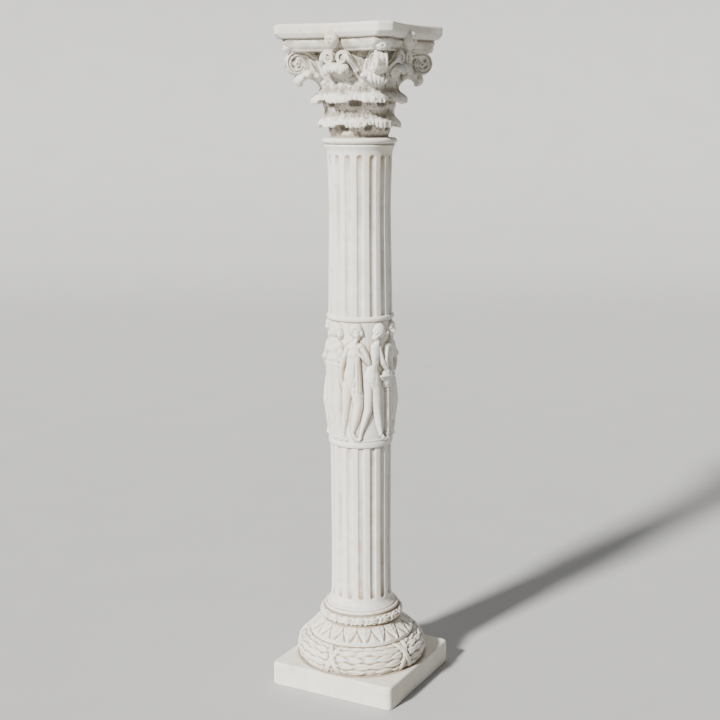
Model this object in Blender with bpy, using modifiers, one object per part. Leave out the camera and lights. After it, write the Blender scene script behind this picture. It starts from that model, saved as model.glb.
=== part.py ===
"""A garden column of cast stone, standing 1.8 m tall.

Three casts are stacked: a moulded base on a square plinth, a fluted shaft with a band of bathers
in relief round its middle, and a leafy capital with corner volutes under a hollow-sided abacus.
Metres, +Z up, origin under the middle of the plinth. The left face in a front view is the -Y side.
"""

import math

import bmesh
import bpy
import numpy as np

# Plinth and base mouldings, from the ground up
PLINTH_SIDE = 0.374
PLINTH_HEIGHT = 0.065
PLINTH_EDGE = 0.007
LAUREL_RADIUS = 0.1795
LAUREL_HALF_WIDTH = 0.0335
LAUREL_HALF_HEIGHT = 0.041
LAUREL_CENTRE_HEIGHT = 0.028
LAUREL_RELIEF = 0.0055
LAUREL_ROWS = 5
LAUREL_LEAVES = 24
TONGUE_EDGE_RADIUS = 0.1445
TONGUE_EDGE_HEIGHT = 0.012
TONGUE_TOP_RADIUS = 0.107
TONGUE_HEIGHT = 0.035
TONGUE_RELIEF = 0.0055
TONGUES = 18
SCROLL_RADIUS = 0.1145
SCROLL_HALF_WIDTH = 0.0145
SCROLL_RELIEF = 0.003
BASE_NECK_RADIUS = 0.104
BASE_NECK_HEIGHT = 0.0103

# Shaft
SHAFT_FOOT_RADIUS = 0.0983
SHAFT_FOOT_HEIGHT = 0.031
LOWER_FLUTED_HEIGHT = 0.4325
LOWER_SHAFT_RADIUS = 0.0838
GROUND_RING_RADIUS = 0.0888
GROUND_RING_HEIGHT = 0.018
FRIEZE_RADIUS = 0.0865
FRIEZE_HEIGHT = 0.328
FIGURE_HEADROOM = 0.006
UPPER_RING_RADIUS = 0.0916
UPPER_RING_HEIGHT = 0.015
UPPER_FLUTED_HEIGHT = 0.425
UPPER_SHAFT_WAIST = 0.0832
UPPER_SHAFT_FOOT = 0.0876
SHAFT_NECK_RADIUS = 0.0865
SHAFT_LIP_RADIUS = 0.0947
SHAFT_LIP_HEIGHT = 0.027
FLUTES = 16
FLUTE_WIDTH = 0.0175
FLUTE_DEPTH = 0.0048
FLUTE_TURN = math.radians(6.2)

# Capital, heights above its own underside
COLLAR_RADIUS = 0.100
COLLAR_HEIGHT = 0.016
NECK_RADIUS = 0.0765
LOWER_LIP_RADIUS = 0.1115
LOWER_LIP_HEIGHT = 0.0545
LOWER_WAIST_RADIUS = 0.091
LOWER_WAIST_HEIGHT = 0.079
UPPER_LIP_RADIUS = 0.1305
UPPER_LIP_HEIGHT = 0.1165
UPPER_WAIST_RADIUS = 0.1045
UPPER_WAIST_HEIGHT = 0.1425
BELL_TOP_RADIUS = 0.118
LIP_THICKNESS = 0.009
LEAVES_IN_A_RING = 8
LOBE_DEPTH = 0.008
VOLUTE_RADIUS = 0.033
VOLUTE_REACH = 0.170
VOLUTE_HEIGHT = 0.204
VOLUTE_WIDTH = 0.034
VOLUTE_BAND = 0.0085
VOLUTE_TURNS = 1.6
HELIX_RADIUS = 0.0175
HELIX_REACH = 0.127
HELIX_SPREAD = 0.020
HELIX_HEIGHT = 0.2195
HELIX_WIDTH = 0.018
CORNER_LEAF_REACH = 0.175
CORNER_LEAF_HEIGHT = 0.182
CORNER_LEAF_WIDTH = 0.046
MASK_HEIGHT = 0.262
MASK_HALF_HEIGHT = 0.022
MASK_HALF_WIDTH = 0.0175
MASK_REACH = 0.150
ABACUS_SIDE = 0.349
ABACUS_HORN_CUT = 0.031
ABACUS_HOLLOW = 0.025
ABACUS_THICKNESS = 0.034
ABACUS_EDGE = 0.005
UNDER_MOULD_HEIGHT = 0.031
UNDER_MOULD_TOP_INSET = 0.010
UNDER_MOULD_FOOT_INSET = 0.028
CAPITAL_HEIGHT = 0.3026

# Fit and fineness
BED_JOINT = 0.0003
SUNK = 0.006
ROUND_STEPS = 192
BASE_TRIANGLES = 2600
SHAFT_TRIANGLES = 3500
BELL_TRIANGLES = 1500
CAPITAL_TRIANGLES = 3400

# Heights that follow from the sizes above
LAUREL_CENTRE_Z = PLINTH_HEIGHT + LAUREL_CENTRE_HEIGHT
TONGUE_FOOT_Z = LAUREL_CENTRE_Z + LAUREL_HALF_HEIGHT
TONGUE_EDGE_Z = TONGUE_FOOT_Z + TONGUE_EDGE_HEIGHT
TONGUE_TOP_Z = TONGUE_EDGE_Z + TONGUE_HEIGHT
SCROLL_CENTRE_Z = TONGUE_TOP_Z + SCROLL_HALF_WIDTH
BASE_TOP = SCROLL_CENTRE_Z + SCROLL_HALF_WIDTH + BASE_NECK_HEIGHT
SHAFT_BOTTOM = BASE_TOP + BED_JOINT
GROUND_RING_Z = SHAFT_BOTTOM + SHAFT_FOOT_HEIGHT + LOWER_FLUTED_HEIGHT
FRIEZE_FOOT_Z = GROUND_RING_Z + GROUND_RING_HEIGHT
UPPER_RING_Z = FRIEZE_FOOT_Z + FRIEZE_HEIGHT
FIGURE_HEIGHT = FRIEZE_HEIGHT - FIGURE_HEADROOM
UPPER_FLUTES_Z = UPPER_RING_Z + UPPER_RING_HEIGHT
SHAFT_LIP_Z = UPPER_FLUTES_Z + UPPER_FLUTED_HEIGHT
SHAFT_TOP = SHAFT_LIP_Z + SHAFT_LIP_HEIGHT
CAPITAL_BOTTOM = SHAFT_TOP + BED_JOINT
COLUMN_TOP = CAPITAL_BOTTOM + CAPITAL_HEIGHT
ABACUS_BOTTOM = COLUMN_TOP - ABACUS_THICKNESS
UNDER_MOULD_BOTTOM = ABACUS_BOTTOM - UNDER_MOULD_HEIGHT

COLLECTION_NAME = "column"


def clear_scene():
    """Remove what the file holds and make the collection for the column."""
    for obj in list(bpy.data.objects):
        bpy.data.objects.remove(obj, do_unlink=True)
    collection = bpy.data.collections.new(COLLECTION_NAME)
    bpy.context.scene.collection.children.link(collection)
    return collection


def stone(name, colour, roughness):
    """A matt cast stone."""
    material = bpy.data.materials.new(name)
    material.use_nodes = True
    shader = material.node_tree.nodes["Principled BSDF"]
    shader.inputs["Base Color"].default_value = (*colour, 1.0)
    shader.inputs["Roughness"].default_value = roughness
    shader.inputs["Metallic"].default_value = 0.0
    return material


def add_object(name, mesh, collection):
    obj = bpy.data.objects.new(name, mesh)
    collection.objects.link(obj)
    return obj


def settle(obj):
    """Turn an object's modifiers into its own mesh, so that it can be carved or joined."""
    graph = bpy.context.evaluated_depsgraph_get()
    mesh = bpy.data.meshes.new_from_object(obj.evaluated_get(graph))
    obj.modifiers.clear()
    obj.data = mesh
    return obj


def smoothstep(low, high, value):
    t = np.clip((value - low) / (high - low), 0.0, 1.0)
    return t * t * (3.0 - 2.0 * t)


def arc(centre, radii, start, end, count):
    """Points of an ellipse's arc, from one angle to another in degrees."""
    angles = np.radians(np.linspace(start, end, count))
    return [(centre[0] + radii[0] * math.cos(a), centre[1] + radii[1] * math.sin(a)) for a in angles]


def turned(name, profile, collection):
    """A solid turned about Z from a profile of (radius, height) that runs down its outer side."""
    shape = bmesh.new()
    points = [shape.verts.new((radius, 0.0, height)) for radius, height in profile]
    for first, second in zip(points, points[1:]):
        shape.edges.new((first, second))
    mesh = bpy.data.meshes.new(name)
    shape.to_mesh(mesh)
    shape.free()
    obj = add_object(name, mesh, collection)
    screw = obj.modifiers.new("turn", "SCREW")
    screw.steps = ROUND_STEPS
    screw.render_steps = ROUND_STEPS
    screw.use_merge_vertices = True
    screw.merge_threshold = 0.00001
    return settle(obj)


def carve(obj, relief):
    """Move each point in or out from the axis by relief(angle, radius, height)."""
    count = len(obj.data.vertices)
    points = np.empty(count * 3)
    obj.data.vertices.foreach_get("co", points)
    points = points.reshape(count, 3)
    radius = np.hypot(points[:, 0], points[:, 1])
    angle = np.arctan2(points[:, 1], points[:, 0])
    raised = np.maximum(radius + relief(angle, radius, points[:, 2]), 0.0)
    scale = np.where(radius > 1e-6, raised / np.maximum(radius, 1e-6), 1.0)
    points[:, 0] *= scale
    points[:, 1] *= scale
    obj.data.vertices.foreach_set("co", points.ravel())
    obj.data.update()


def join(obj, others, collection):
    """Weld closed bodies that run into each other into one."""
    group = bpy.data.collections.new(obj.name + " ornaments")
    for other in others:
        collection.objects.unlink(other)
        group.objects.link(other)
    bpy.context.scene.collection.children.link(group)
    union = obj.modifiers.new("union", "BOOLEAN")
    union.operation = "UNION"
    union.solver = "EXACT"
    union.operand_type = "COLLECTION"
    union.collection = group
    settle(obj)
    for other in others:
        bpy.data.objects.remove(other, do_unlink=True)
    bpy.data.collections.remove(group)


def simplify(obj, triangles, flat_heights):
    """Thin the mesh to about so many triangles and keep its bed faces exactly level."""
    obj.data.calc_loop_triangles()
    thin = obj.modifiers.new("thin", "DECIMATE")
    thin.ratio = min(1.0, triangles / len(obj.data.loop_triangles))
    settle(obj)
    near = 0.0009
    for vertex in obj.data.vertices:
        for height in flat_heights:
            if abs(vertex.co.z - height) < near:
                vertex.co.z = height


def finish(obj, material):
    obj.data.materials.clear()
    obj.data.materials.append(material)
    obj.data.shade_smooth()
    obj.data.set_sharp_from_angle(angle=math.radians(50))


def laurel_profile():
    """The big torus, from the groove over its outer side and into the plinth."""
    centre = (LAUREL_RADIUS - LAUREL_HALF_WIDTH, LAUREL_CENTRE_Z)
    foot = math.degrees(math.asin(-LAUREL_CENTRE_HEIGHT / LAUREL_HALF_HEIGHT))
    return arc(centre, (LAUREL_HALF_WIDTH, LAUREL_HALF_HEIGHT), 97, foot, 32)


def tongue_profile():
    """The hollow moulding under the small torus, with the fillet at its foot."""
    spread = TONGUE_EDGE_RADIUS - TONGUE_TOP_RADIUS
    slope = [(TONGUE_TOP_RADIUS + spread * t ** 1.35, TONGUE_TOP_Z - TONGUE_HEIGHT * t)
             for t in np.linspace(0.0, 0.96, 14)]
    round_over = arc((TONGUE_EDGE_RADIUS - 0.002, TONGUE_EDGE_Z - 0.001), (0.002, 0.002), 60, 0, 3)
    foot = [(TONGUE_EDGE_RADIUS, TONGUE_FOOT_Z + 0.003), (TONGUE_EDGE_RADIUS - 0.002, TONGUE_FOOT_Z)]
    return slope + round_over + foot


def base_profile():
    neck = [(0.0, BASE_TOP), (BASE_NECK_RADIUS - 0.003, BASE_TOP),
            (BASE_NECK_RADIUS, BASE_TOP - 0.003), (BASE_NECK_RADIUS, BASE_TOP - 0.007),
            (BASE_NECK_RADIUS - 0.003, BASE_TOP - BASE_NECK_HEIGHT + 0.001)]
    centre = (SCROLL_RADIUS - SCROLL_HALF_WIDTH, SCROLL_CENTRE_Z)
    torus = arc(centre, (SCROLL_HALF_WIDTH, SCROLL_HALF_WIDTH), 75, -58, 14)
    laurel = laurel_profile()
    sunk = [(laurel[-1][0] - SUNK, PLINTH_HEIGHT - SUNK), (0.0, PLINTH_HEIGHT - SUNK)]
    return neck + torus + tongue_profile() + laurel + sunk


def laurel_relief(angle, section):
    """Lens-shaped leaves in staggered rows; section runs from 0 at the top to 1 at the plinth."""
    rows = np.clip(section, 0.0, 0.999) * LAUREL_ROWS
    row = np.floor(rows)
    across = 2.0 * (rows - row) - 1.0
    along = angle / math.tau * LAUREL_LEAVES + 0.5 * (row % 2)
    along = 2.0 * (along - np.floor(along)) - 1.0
    return LAUREL_RELIEF * (np.clip(1.0 - along ** 2 - across ** 2, 0.0, 1.0) - 0.4)


def tongue_relief(angle, fall):
    """Pointed leaves that hang down the hollow, each with a rib; fall runs from 0 to 1 at the tips."""
    turn = angle / math.tau * TONGUES
    across = np.abs(2.0 * (turn - np.floor(turn)) - 1.0)
    half_width = 0.96 * np.sqrt(np.clip(1.0 - np.clip(fall, 0.0, 1.0) ** 3, 0.0, 1.0))
    leaf = np.sqrt(np.clip(1.0 - (across / np.maximum(half_width, 1e-3)) ** 2, 0.0, 1.0))
    return TONGUE_RELIEF * (leaf - 0.5) * smoothstep(0.05, 0.3, fall)


def scroll_relief(angle):
    """Rounded bosses of the running foliage."""
    return SCROLL_RELIEF * np.cos(angle * TONGUES)


def base_relief(angle, radius, height):
    centre = LAUREL_RADIUS - LAUREL_HALF_WIDTH
    turn = np.arctan2((height - LAUREL_CENTRE_Z) / LAUREL_HALF_HEIGHT, (radius - centre) / LAUREL_HALF_WIDTH)
    section = (math.radians(97) - turn) / math.radians(97 + 43)
    on_laurel = (height > PLINTH_HEIGHT - 0.001) & (height < TONGUE_FOOT_Z + 0.0005) & (radius > centre - 0.003)
    fall = (TONGUE_TOP_Z - height) / TONGUE_HEIGHT
    on_tongues = (height >= TONGUE_EDGE_Z) & (height < TONGUE_TOP_Z) & (radius > TONGUE_TOP_RADIUS - 0.001)
    near_scroll = np.clip(1.0 - ((height - SCROLL_CENTRE_Z) / SCROLL_HALF_WIDTH) ** 2, 0.0, 1.0)
    on_scroll = (height >= TONGUE_TOP_Z) & (radius > SCROLL_RADIUS - SCROLL_HALF_WIDTH)
    return (laurel_relief(angle, section) * on_laurel + tongue_relief(angle, fall) * on_tongues
            + scroll_relief(angle) * near_scroll * on_scroll)


def make_base(collection):
    body = turned("base", base_profile(), collection)
    carve(body, base_relief)
    cube = bmesh.new()
    bmesh.ops.create_cube(cube, size=1.0)
    bmesh.ops.scale(cube, vec=(PLINTH_SIDE, PLINTH_SIDE, PLINTH_HEIGHT), verts=cube.verts)
    bmesh.ops.translate(cube, vec=(0.0, 0.0, PLINTH_HEIGHT / 2), verts=cube.verts)
    mesh = bpy.data.meshes.new("plinth")
    cube.to_mesh(mesh)
    cube.free()
    plinth = add_object("plinth", mesh, collection)
    edge = plinth.modifiers.new("edge", "BEVEL")
    edge.width = PLINTH_EDGE
    edge.segments = 3
    settle(plinth)
    simplify(body, BASE_TRIANGLES, (PLINTH_HEIGHT - SUNK, BASE_TOP))
    join(body, [plinth], collection)
    return body


# The bathers. Joints are (right, up) in hundredths of a figure's height, from the middle of its feet.
ROBED = {
    "angle": -53, "robe": True,
    "head": (1.5, 94.7), "neck": (1.0, 87.3), "chest": (0.5, 79.0), "waist": (0.0, 66.0), "hip": (0.0, 54.0),
    "shoulders": ((-7.0, 81.0), (7.6, 81.0)), "elbows": ((-13.0, 69.0), (9.6, 70.0)),
    "hands": ((-5.5, 67.0), (3.0, 66.0)), "hips": ((-4.0, 53.0), (4.0, 53.0)),
    "knees": ((-4.5, 30.0), (4.5, 30.0)), "ankles": ((-3.5, 5.0), (4.5, 5.0)), "toes": ((-4.0, 2.0), (6.0, 2.0)),
    "elbow_rise": (0.021, 0.013),
}
TOWEL_BEARER = {
    "angle": -8, "robe": False,
    "head": (0.8, 94.5), "neck": (-0.5, 87.0), "chest": (-1.5, 79.0), "waist": (-4.0, 64.0), "hip": (-4.6, 52.0),
    "shoulders": ((-6.2, 81.0), (4.6, 82.0)), "elbows": ((-11.9, 63.5), (11.4, 68.0)),
    "hands": ((-12.6, 49.5), (2.8, 76.5)), "hips": ((-7.5, 49.0), (-0.6, 48.0)),
    "knees": ((-9.0, 29.0), (2.4, 29.5)), "ankles": ((-12.6, 7.5), (-3.0, 8.5)), "toes": ((-8.5, 2.0), (2.6, 2.5)),
    "elbow_rise": (0.012, 0.014),
}
BACK_TURNED = {
    "angle": 22, "robe": False,
    "head": (7.6, 94.5), "neck": (4.4, 86.5), "chest": (1.0, 79.0), "waist": (-0.6, 66.0), "hip": (0.2, 53.0),
    "shoulders": ((-1.4, 81.5), (4.6, 81.0)), "elbows": ((-1.6, 72.0), (9.6, 67.5)),
    "hands": ((1.0, 66.0), (18.5, 58.5)), "hips": ((-3.4, 50.0), (3.2, 49.0)),
    "knees": ((-3.4, 31.5), (3.4, 29.5)), "ankles": ((-10.0, 8.5), (9.0, 7.5)), "toes": ((-8.0, 2.0), (14.5, 1.5)),
    "elbow_rise": (0.010, 0.013),
}
BEHIND_BASIN = {
    "angle": 66, "robe": False,
    "head": (2.0, 94.5), "neck": (1.0, 87.0), "chest": (-1.0, 79.0), "waist": (-0.5, 66.0), "hip": (1.5, 54.0),
    "shoulders": ((-6.5, 80.5), (6.2, 80.5)), "elbows": ((-10.5, 69.5), (10.3, 67.0)),
    "hands": ((-7.2, 59.5), (4.2, 58.5)), "hips": ((-1.5, 49.0), (5.0, 49.0)),
    "knees": ((-1.5, 30.0), (10.3, 31.0)), "ankles": ((-1.0, 8.0), (6.2, 8.0)), "toes": ((-3.5, 2.0), (9.5, 2.0)),
    "elbow_rise": (0.010, 0.017),
}
FIGURES = (ROBED, TOWEL_BEARER, BACK_TURNED, BEHIND_BASIN)
# The towel and the basin, laid out in the same hundredths, with each bar's half widths
TOWEL_TOP, TOWEL_HEM = (2.4, 76.0), (1.6, 45.0)
TOWEL_HALF_WIDTHS = (2.4, 4.0)
TOWEL_RISES = (0.0125, 0.0150)
BASIN_ANGLE = 54
BASIN_RIM_UP, BASIN_BOWL_UP, BASIN_STEM_UP, BASIN_FOOT_UP = 55.0, 53.5, 47.0, 1.6
BASIN_RIM_REACH, BASIN_FOOT_REACH = 9.0, 3.2
BASIN_RIM_HALF, BASIN_STEM_HALF = 1.8, 2.7
BASIN_BOWL_HALVES = (7.5, 3.2)
BASIN_RISE, BASIN_STEM_RISE = 0.013, 0.009
FRIEZE_REPEATS = 2
FRIEZE_TURN = math.radians(-61.8)
LAYOUT_RADIUS = 0.095


def stroke(right, up, start, end, half_widths, rises):
    """A tapering rounded bar from start to end, as its height over each point of the layout."""
    run = np.subtract(end, start)
    along = ((right - start[0]) * run[0] + (up - start[1]) * run[1]) / max(run @ run, 1e-9)
    along = np.clip(along, 0.0, 1.0)
    away = np.hypot(right - start[0] - along * run[0], up - start[1] - along * run[1])
    width = half_widths[0] + (half_widths[1] - half_widths[0]) * along
    rise = rises[0] + (rises[1] - rises[0]) * along
    return rise * np.sqrt(np.clip(1.0 - (away / width) ** 2.4, 0.0, 1.0))


def figure_strokes(pose):
    """The bars that make up one bather: (start, end, half widths, rises)."""
    left, right = pose["hips"]
    torso_rise = 0.0105
    bars = [
        (pose["neck"], pose["chest"], (2.2, 5.0), (0.009, torso_rise)),
        (pose["shoulders"][0], pose["shoulders"][1], (3.2, 3.2), (torso_rise, torso_rise)),
        (pose["chest"], pose["waist"], (6.0, 4.6), (0.0115, 0.0095)),
        (pose["waist"], pose["hip"], (4.6, 6.4), (0.0095, 0.012)),
        (left, right, (4.6, 4.6), (0.011, 0.011)),
    ]
    for side in (0, 1):
        bars += [
            (pose["hips"][side], pose["knees"][side], (4.4, 3.0), (0.0115, 0.0105)),
            (pose["knees"][side], pose["ankles"][side], (3.0, 1.7), (0.0105, 0.0075)),
            (pose["ankles"][side], pose["toes"][side], (1.9, 1.5), (0.008, 0.009)),
            (pose["shoulders"][side], pose["elbows"][side], (2.8, 2.3), (0.012, pose["elbow_rise"][side])),
            (pose["elbows"][side], pose["hands"][side], (2.3, 1.7), (pose["elbow_rise"][side], 0.0125)),
        ]
    if pose["robe"]:
        top = pose["waist"]
        hem = (pose["hip"][0] + 1.0, 1.5)
        bars += [(top, hem, (10.5, 9.0), (0.0105, 0.0075)),
                 (pose["chest"], pose["waist"], (10.5, 12.0), (0.0105, 0.0105))]
    return bars


def figure_relief(pose, angle, up):
    """One bather's height over the drum."""
    turn = (angle - math.radians(pose["angle"]) + math.pi) % math.tau - math.pi
    right = turn * LAYOUT_RADIUS / FIGURE_HEIGHT * 100.0
    relief = np.zeros_like(up)
    for bar in figure_strokes(pose):
        relief = np.maximum(relief, stroke(right, up, *bar))
    head = pose["head"]
    round_head = np.clip(1.0 - ((right - head[0]) / 5.4) ** 2 - ((up - head[1]) / 6.2) ** 2, 0.0, 1.0)
    return np.maximum(relief, 0.014 * np.sqrt(round_head))


def towel_relief(angle, up):
    """The towel that hangs in folds from the second bather's hand."""
    turn = (angle - math.radians(TOWEL_BEARER["angle"]) + math.pi) % math.tau - math.pi
    right = turn * LAYOUT_RADIUS / FIGURE_HEIGHT * 100.0
    return stroke(right, up, TOWEL_TOP, TOWEL_HEM, TOWEL_HALF_WIDTHS, TOWEL_RISES)


def basin_relief(angle, up):
    """A shallow bowl on a turned stem."""
    turn = (angle - math.radians(BASIN_ANGLE) + math.pi) % math.tau - math.pi
    right = turn * LAYOUT_RADIUS / FIGURE_HEIGHT * 100.0
    rim = stroke(right, up, (-BASIN_RIM_REACH, BASIN_RIM_UP), (BASIN_RIM_REACH, BASIN_RIM_UP),
                 (BASIN_RIM_HALF, BASIN_RIM_HALF), (BASIN_RISE, BASIN_RISE))
    bowl = stroke(right, up, (0.0, BASIN_BOWL_UP), (0.0, BASIN_STEM_UP),
                  BASIN_BOWL_HALVES, (BASIN_RISE, BASIN_STEM_RISE))
    stem = stroke(right, up, (0.0, BASIN_STEM_UP), (0.0, BASIN_FOOT_UP),
                  (BASIN_STEM_HALF, BASIN_STEM_HALF), (BASIN_STEM_RISE, BASIN_STEM_RISE))
    foot = stroke(right, up, (-BASIN_FOOT_REACH, BASIN_FOOT_UP), (BASIN_FOOT_REACH, BASIN_FOOT_UP),
                  (BASIN_RIM_HALF, BASIN_RIM_HALF), (BASIN_STEM_RISE, BASIN_STEM_RISE))
    return np.maximum.reduce([rim, bowl, stem, foot])


def frieze_relief(angle, height):
    """All the bathers, repeated round the drum."""
    span = math.tau / FRIEZE_REPEATS
    local = (angle - FRIEZE_TURN + math.radians(85)) % span - math.radians(85)
    up = (height - FRIEZE_FOOT_Z) / FIGURE_HEIGHT * 100.0
    pieces = [figure_relief(pose, local, up) for pose in FIGURES]
    pieces += [towel_relief(local, up), basin_relief(local, up)]
    return np.maximum.reduce(pieces)


def flute_relief(angle, radius, height, low, high):
    """Round-bottomed flutes with round ends between two heights."""
    pitch = math.tau / FLUTES
    turn = (angle - FLUTE_TURN + pitch / 2) % pitch - pitch / 2
    half = FLUTE_WIDTH / 2
    beyond = np.maximum(0.0, np.maximum(height - (high - half), (low + half) - height))
    away = np.hypot(turn * radius, beyond)
    return -FLUTE_DEPTH * np.sqrt(np.clip(1.0 - (away / half) ** 2, 0.0, 1.0))


def shaft_radius(height):
    """The shaft's plain outline without its rings: a foot flare, a slight waist and a lip."""
    heights = [SHAFT_BOTTOM, SHAFT_BOTTOM + 0.006, SHAFT_BOTTOM + 0.012, SHAFT_BOTTOM + 0.019,
               SHAFT_BOTTOM + SHAFT_FOOT_HEIGHT, SHAFT_BOTTOM + SHAFT_FOOT_HEIGHT + 0.16, GROUND_RING_Z]
    radii = [SHAFT_FOOT_RADIUS, 0.0925, 0.089, 0.0863, LOWER_SHAFT_RADIUS + 0.0012,
             LOWER_SHAFT_RADIUS - 0.0006, LOWER_SHAFT_RADIUS]
    heights += [UPPER_FLUTES_Z, UPPER_FLUTES_Z + 0.14, UPPER_FLUTES_Z + 0.28, SHAFT_LIP_Z - 0.06, SHAFT_LIP_Z]
    radii += [UPPER_SHAFT_FOOT, UPPER_SHAFT_FOOT - 0.0024, UPPER_SHAFT_WAIST,
              UPPER_SHAFT_WAIST + 0.0016, SHAFT_NECK_RADIUS]
    return float(np.interp(height, heights, radii))


def shaft_profile():
    lip = [(0.0, SHAFT_TOP), (SHAFT_LIP_RADIUS - 0.001, SHAFT_TOP), (SHAFT_LIP_RADIUS, SHAFT_TOP - 0.001)]
    flare = SHAFT_LIP_RADIUS - SHAFT_NECK_RADIUS
    lip += [(SHAFT_NECK_RADIUS + flare * (1.0 - t) ** 2.2, SHAFT_TOP - 0.002 - (SHAFT_LIP_HEIGHT - 0.002) * t)
            for t in np.linspace(0.0, 1.0, 8)]
    upper = [(shaft_radius(z), z) for z in np.linspace(SHAFT_LIP_Z - 0.003, UPPER_FLUTES_Z + 0.002, 60)]
    ring = arc((UPPER_RING_RADIUS - 0.006, UPPER_RING_Z + UPPER_RING_HEIGHT / 2),
               (0.006, UPPER_RING_HEIGHT / 2), 80, -80, 9)
    drum = [(FRIEZE_RADIUS, z) for z in np.linspace(UPPER_RING_Z - 0.0005, FRIEZE_FOOT_Z + 0.0005, 96)]
    ledge = arc((GROUND_RING_RADIUS - 0.003, GROUND_RING_Z + GROUND_RING_HEIGHT / 2),
                (0.003, GROUND_RING_HEIGHT / 2), 85, -75, 9)
    lower = [(shaft_radius(z), z) for z in np.linspace(GROUND_RING_Z - 0.0005, SHAFT_BOTTOM + 0.002, 64)]
    foot = [(SHAFT_FOOT_RADIUS, SHAFT_BOTTOM + 0.001), (SHAFT_FOOT_RADIUS - 0.001, SHAFT_BOTTOM), (0.0, SHAFT_BOTTOM)]
    return lip + upper + ring + drum + ledge + lower + foot


def shaft_relief(angle, radius, height):
    on_drum = (height > FRIEZE_FOOT_Z) & (height < UPPER_RING_Z)
    figures = frieze_relief(angle, height) * on_drum
    run_out = FLUTE_WIDTH
    upper = flute_relief(angle, radius, height, UPPER_FLUTES_Z - run_out, SHAFT_LIP_Z) * (height > UPPER_FLUTES_Z)
    lower_foot = SHAFT_BOTTOM + SHAFT_FOOT_HEIGHT - 0.003
    lower = flute_relief(angle, radius, height, lower_foot, GROUND_RING_Z + run_out) * (height < GROUND_RING_Z)
    return figures + upper + lower


def make_shaft(collection):
    body = turned("shaft", shaft_profile(), collection)
    carve(body, shaft_relief)
    simplify(body, SHAFT_TRIANGLES, (SHAFT_BOTTOM, SHAFT_TOP))
    return body


def tier(waist_radius, waist_height, lip_radius, lip_height, under_radius):
    """One ring of leaves: it swells down from its waist to a lip that hangs clear of the bell."""
    fall = waist_height - lip_height
    swell = [(waist_radius + (lip_radius - waist_radius) * t * t * (3.0 - 2.0 * t), waist_height - fall * t)
             for t in np.linspace(0.0, 0.95, 8)]
    half = LIP_THICKNESS / 2
    lip = arc((lip_radius - half, lip_height - half), (half, half), 45, -100, 7)
    under = [(lip_radius - 3.0 * half, lip_height - half - 0.002), (under_radius + 0.003, lip_height - half),
             (under_radius, lip_height - half - 0.003)]
    return swell + lip + under


def capital_profile():
    bell = [(0.0, UNDER_MOULD_BOTTOM + SUNK), (BELL_TOP_RADIUS, UNDER_MOULD_BOTTOM + SUNK),
            (BELL_TOP_RADIUS - 0.001, UNDER_MOULD_BOTTOM), (BELL_TOP_RADIUS - 0.007, CAPITAL_BOTTOM + 0.200),
            (UPPER_WAIST_RADIUS + 0.001, CAPITAL_BOTTOM + 0.160)]
    upper = tier(UPPER_WAIST_RADIUS, CAPITAL_BOTTOM + UPPER_WAIST_HEIGHT,
                 UPPER_LIP_RADIUS, CAPITAL_BOTTOM + UPPER_LIP_HEIGHT, LOWER_WAIST_RADIUS + 0.0065)
    lower = tier(LOWER_WAIST_RADIUS, CAPITAL_BOTTOM + LOWER_WAIST_HEIGHT,
                 LOWER_LIP_RADIUS, CAPITAL_BOTTOM + LOWER_LIP_HEIGHT, NECK_RADIUS + 0.0075)
    neck = [(NECK_RADIUS, CAPITAL_BOTTOM + COLLAR_HEIGHT + 0.005), (NECK_RADIUS, CAPITAL_BOTTOM + COLLAR_HEIGHT)]
    collar = arc((COLLAR_RADIUS - 0.009, CAPITAL_BOTTOM + COLLAR_HEIGHT / 2),
                 (0.009, COLLAR_HEIGHT / 2), 90, -60, 9)
    foot = [(SHAFT_LIP_RADIUS, CAPITAL_BOTTOM), (0.0, CAPITAL_BOTTOM)]
    return bell + upper + lower + neck + collar + foot


def leaf_ring_relief(angle, radius, height):
    """Scallops the lips into leaf tips, and sinks hollows under the upper lip between the leaves."""
    up = height - CAPITAL_BOTTOM
    in_upper = smoothstep(UPPER_WAIST_RADIUS, UPPER_LIP_RADIUS, radius) * (up > LOWER_WAIST_HEIGHT) * (up < 0.15)
    in_lower = smoothstep(LOWER_WAIST_RADIUS, LOWER_LIP_RADIUS, radius) * (up < LOWER_WAIST_HEIGHT) * (up > 0.03)
    tips = 0.5 - 0.5 * np.cos(angle * LEAVES_IN_A_RING)
    lobes = 0.5 - 0.5 * np.cos(angle * LEAVES_IN_A_RING * 3)
    upper = -LOBE_DEPTH * (0.7 * tips + 0.3 * lobes) * in_upper
    lower = -LOBE_DEPTH * (0.7 * (1.0 - tips) + 0.3 * lobes) * in_lower
    pitch = math.tau / LEAVES_IN_A_RING
    turn = angle % pitch - pitch / 2
    away = np.hypot(turn * radius, up - (UPPER_LIP_HEIGHT - LIP_THICKNESS - 0.004))
    hollow = -0.005 * np.sqrt(np.clip(1.0 - (away / 0.010) ** 2, 0.0, 1.0)) * (up < UPPER_LIP_HEIGHT - 0.004)
    return upper + lower + hollow


def abacus_outline(inset):
    """A square with hollow sides and cut-off corners, drawn in by inset."""
    half = ABACUS_SIDE / 2 - inset
    run = half - ABACUS_HORN_CUT
    side = [(x, -half + ABACUS_HOLLOW * (1.0 - (x / run) ** 2)) for x in np.linspace(-run, run, 9)]
    points = []
    for quarter in range(4):
        turn = quarter * math.pi / 2
        points += [(x * math.cos(turn) - y * math.sin(turn), x * math.sin(turn) + y * math.cos(turn))
                   for x, y in side]
    return points


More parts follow.
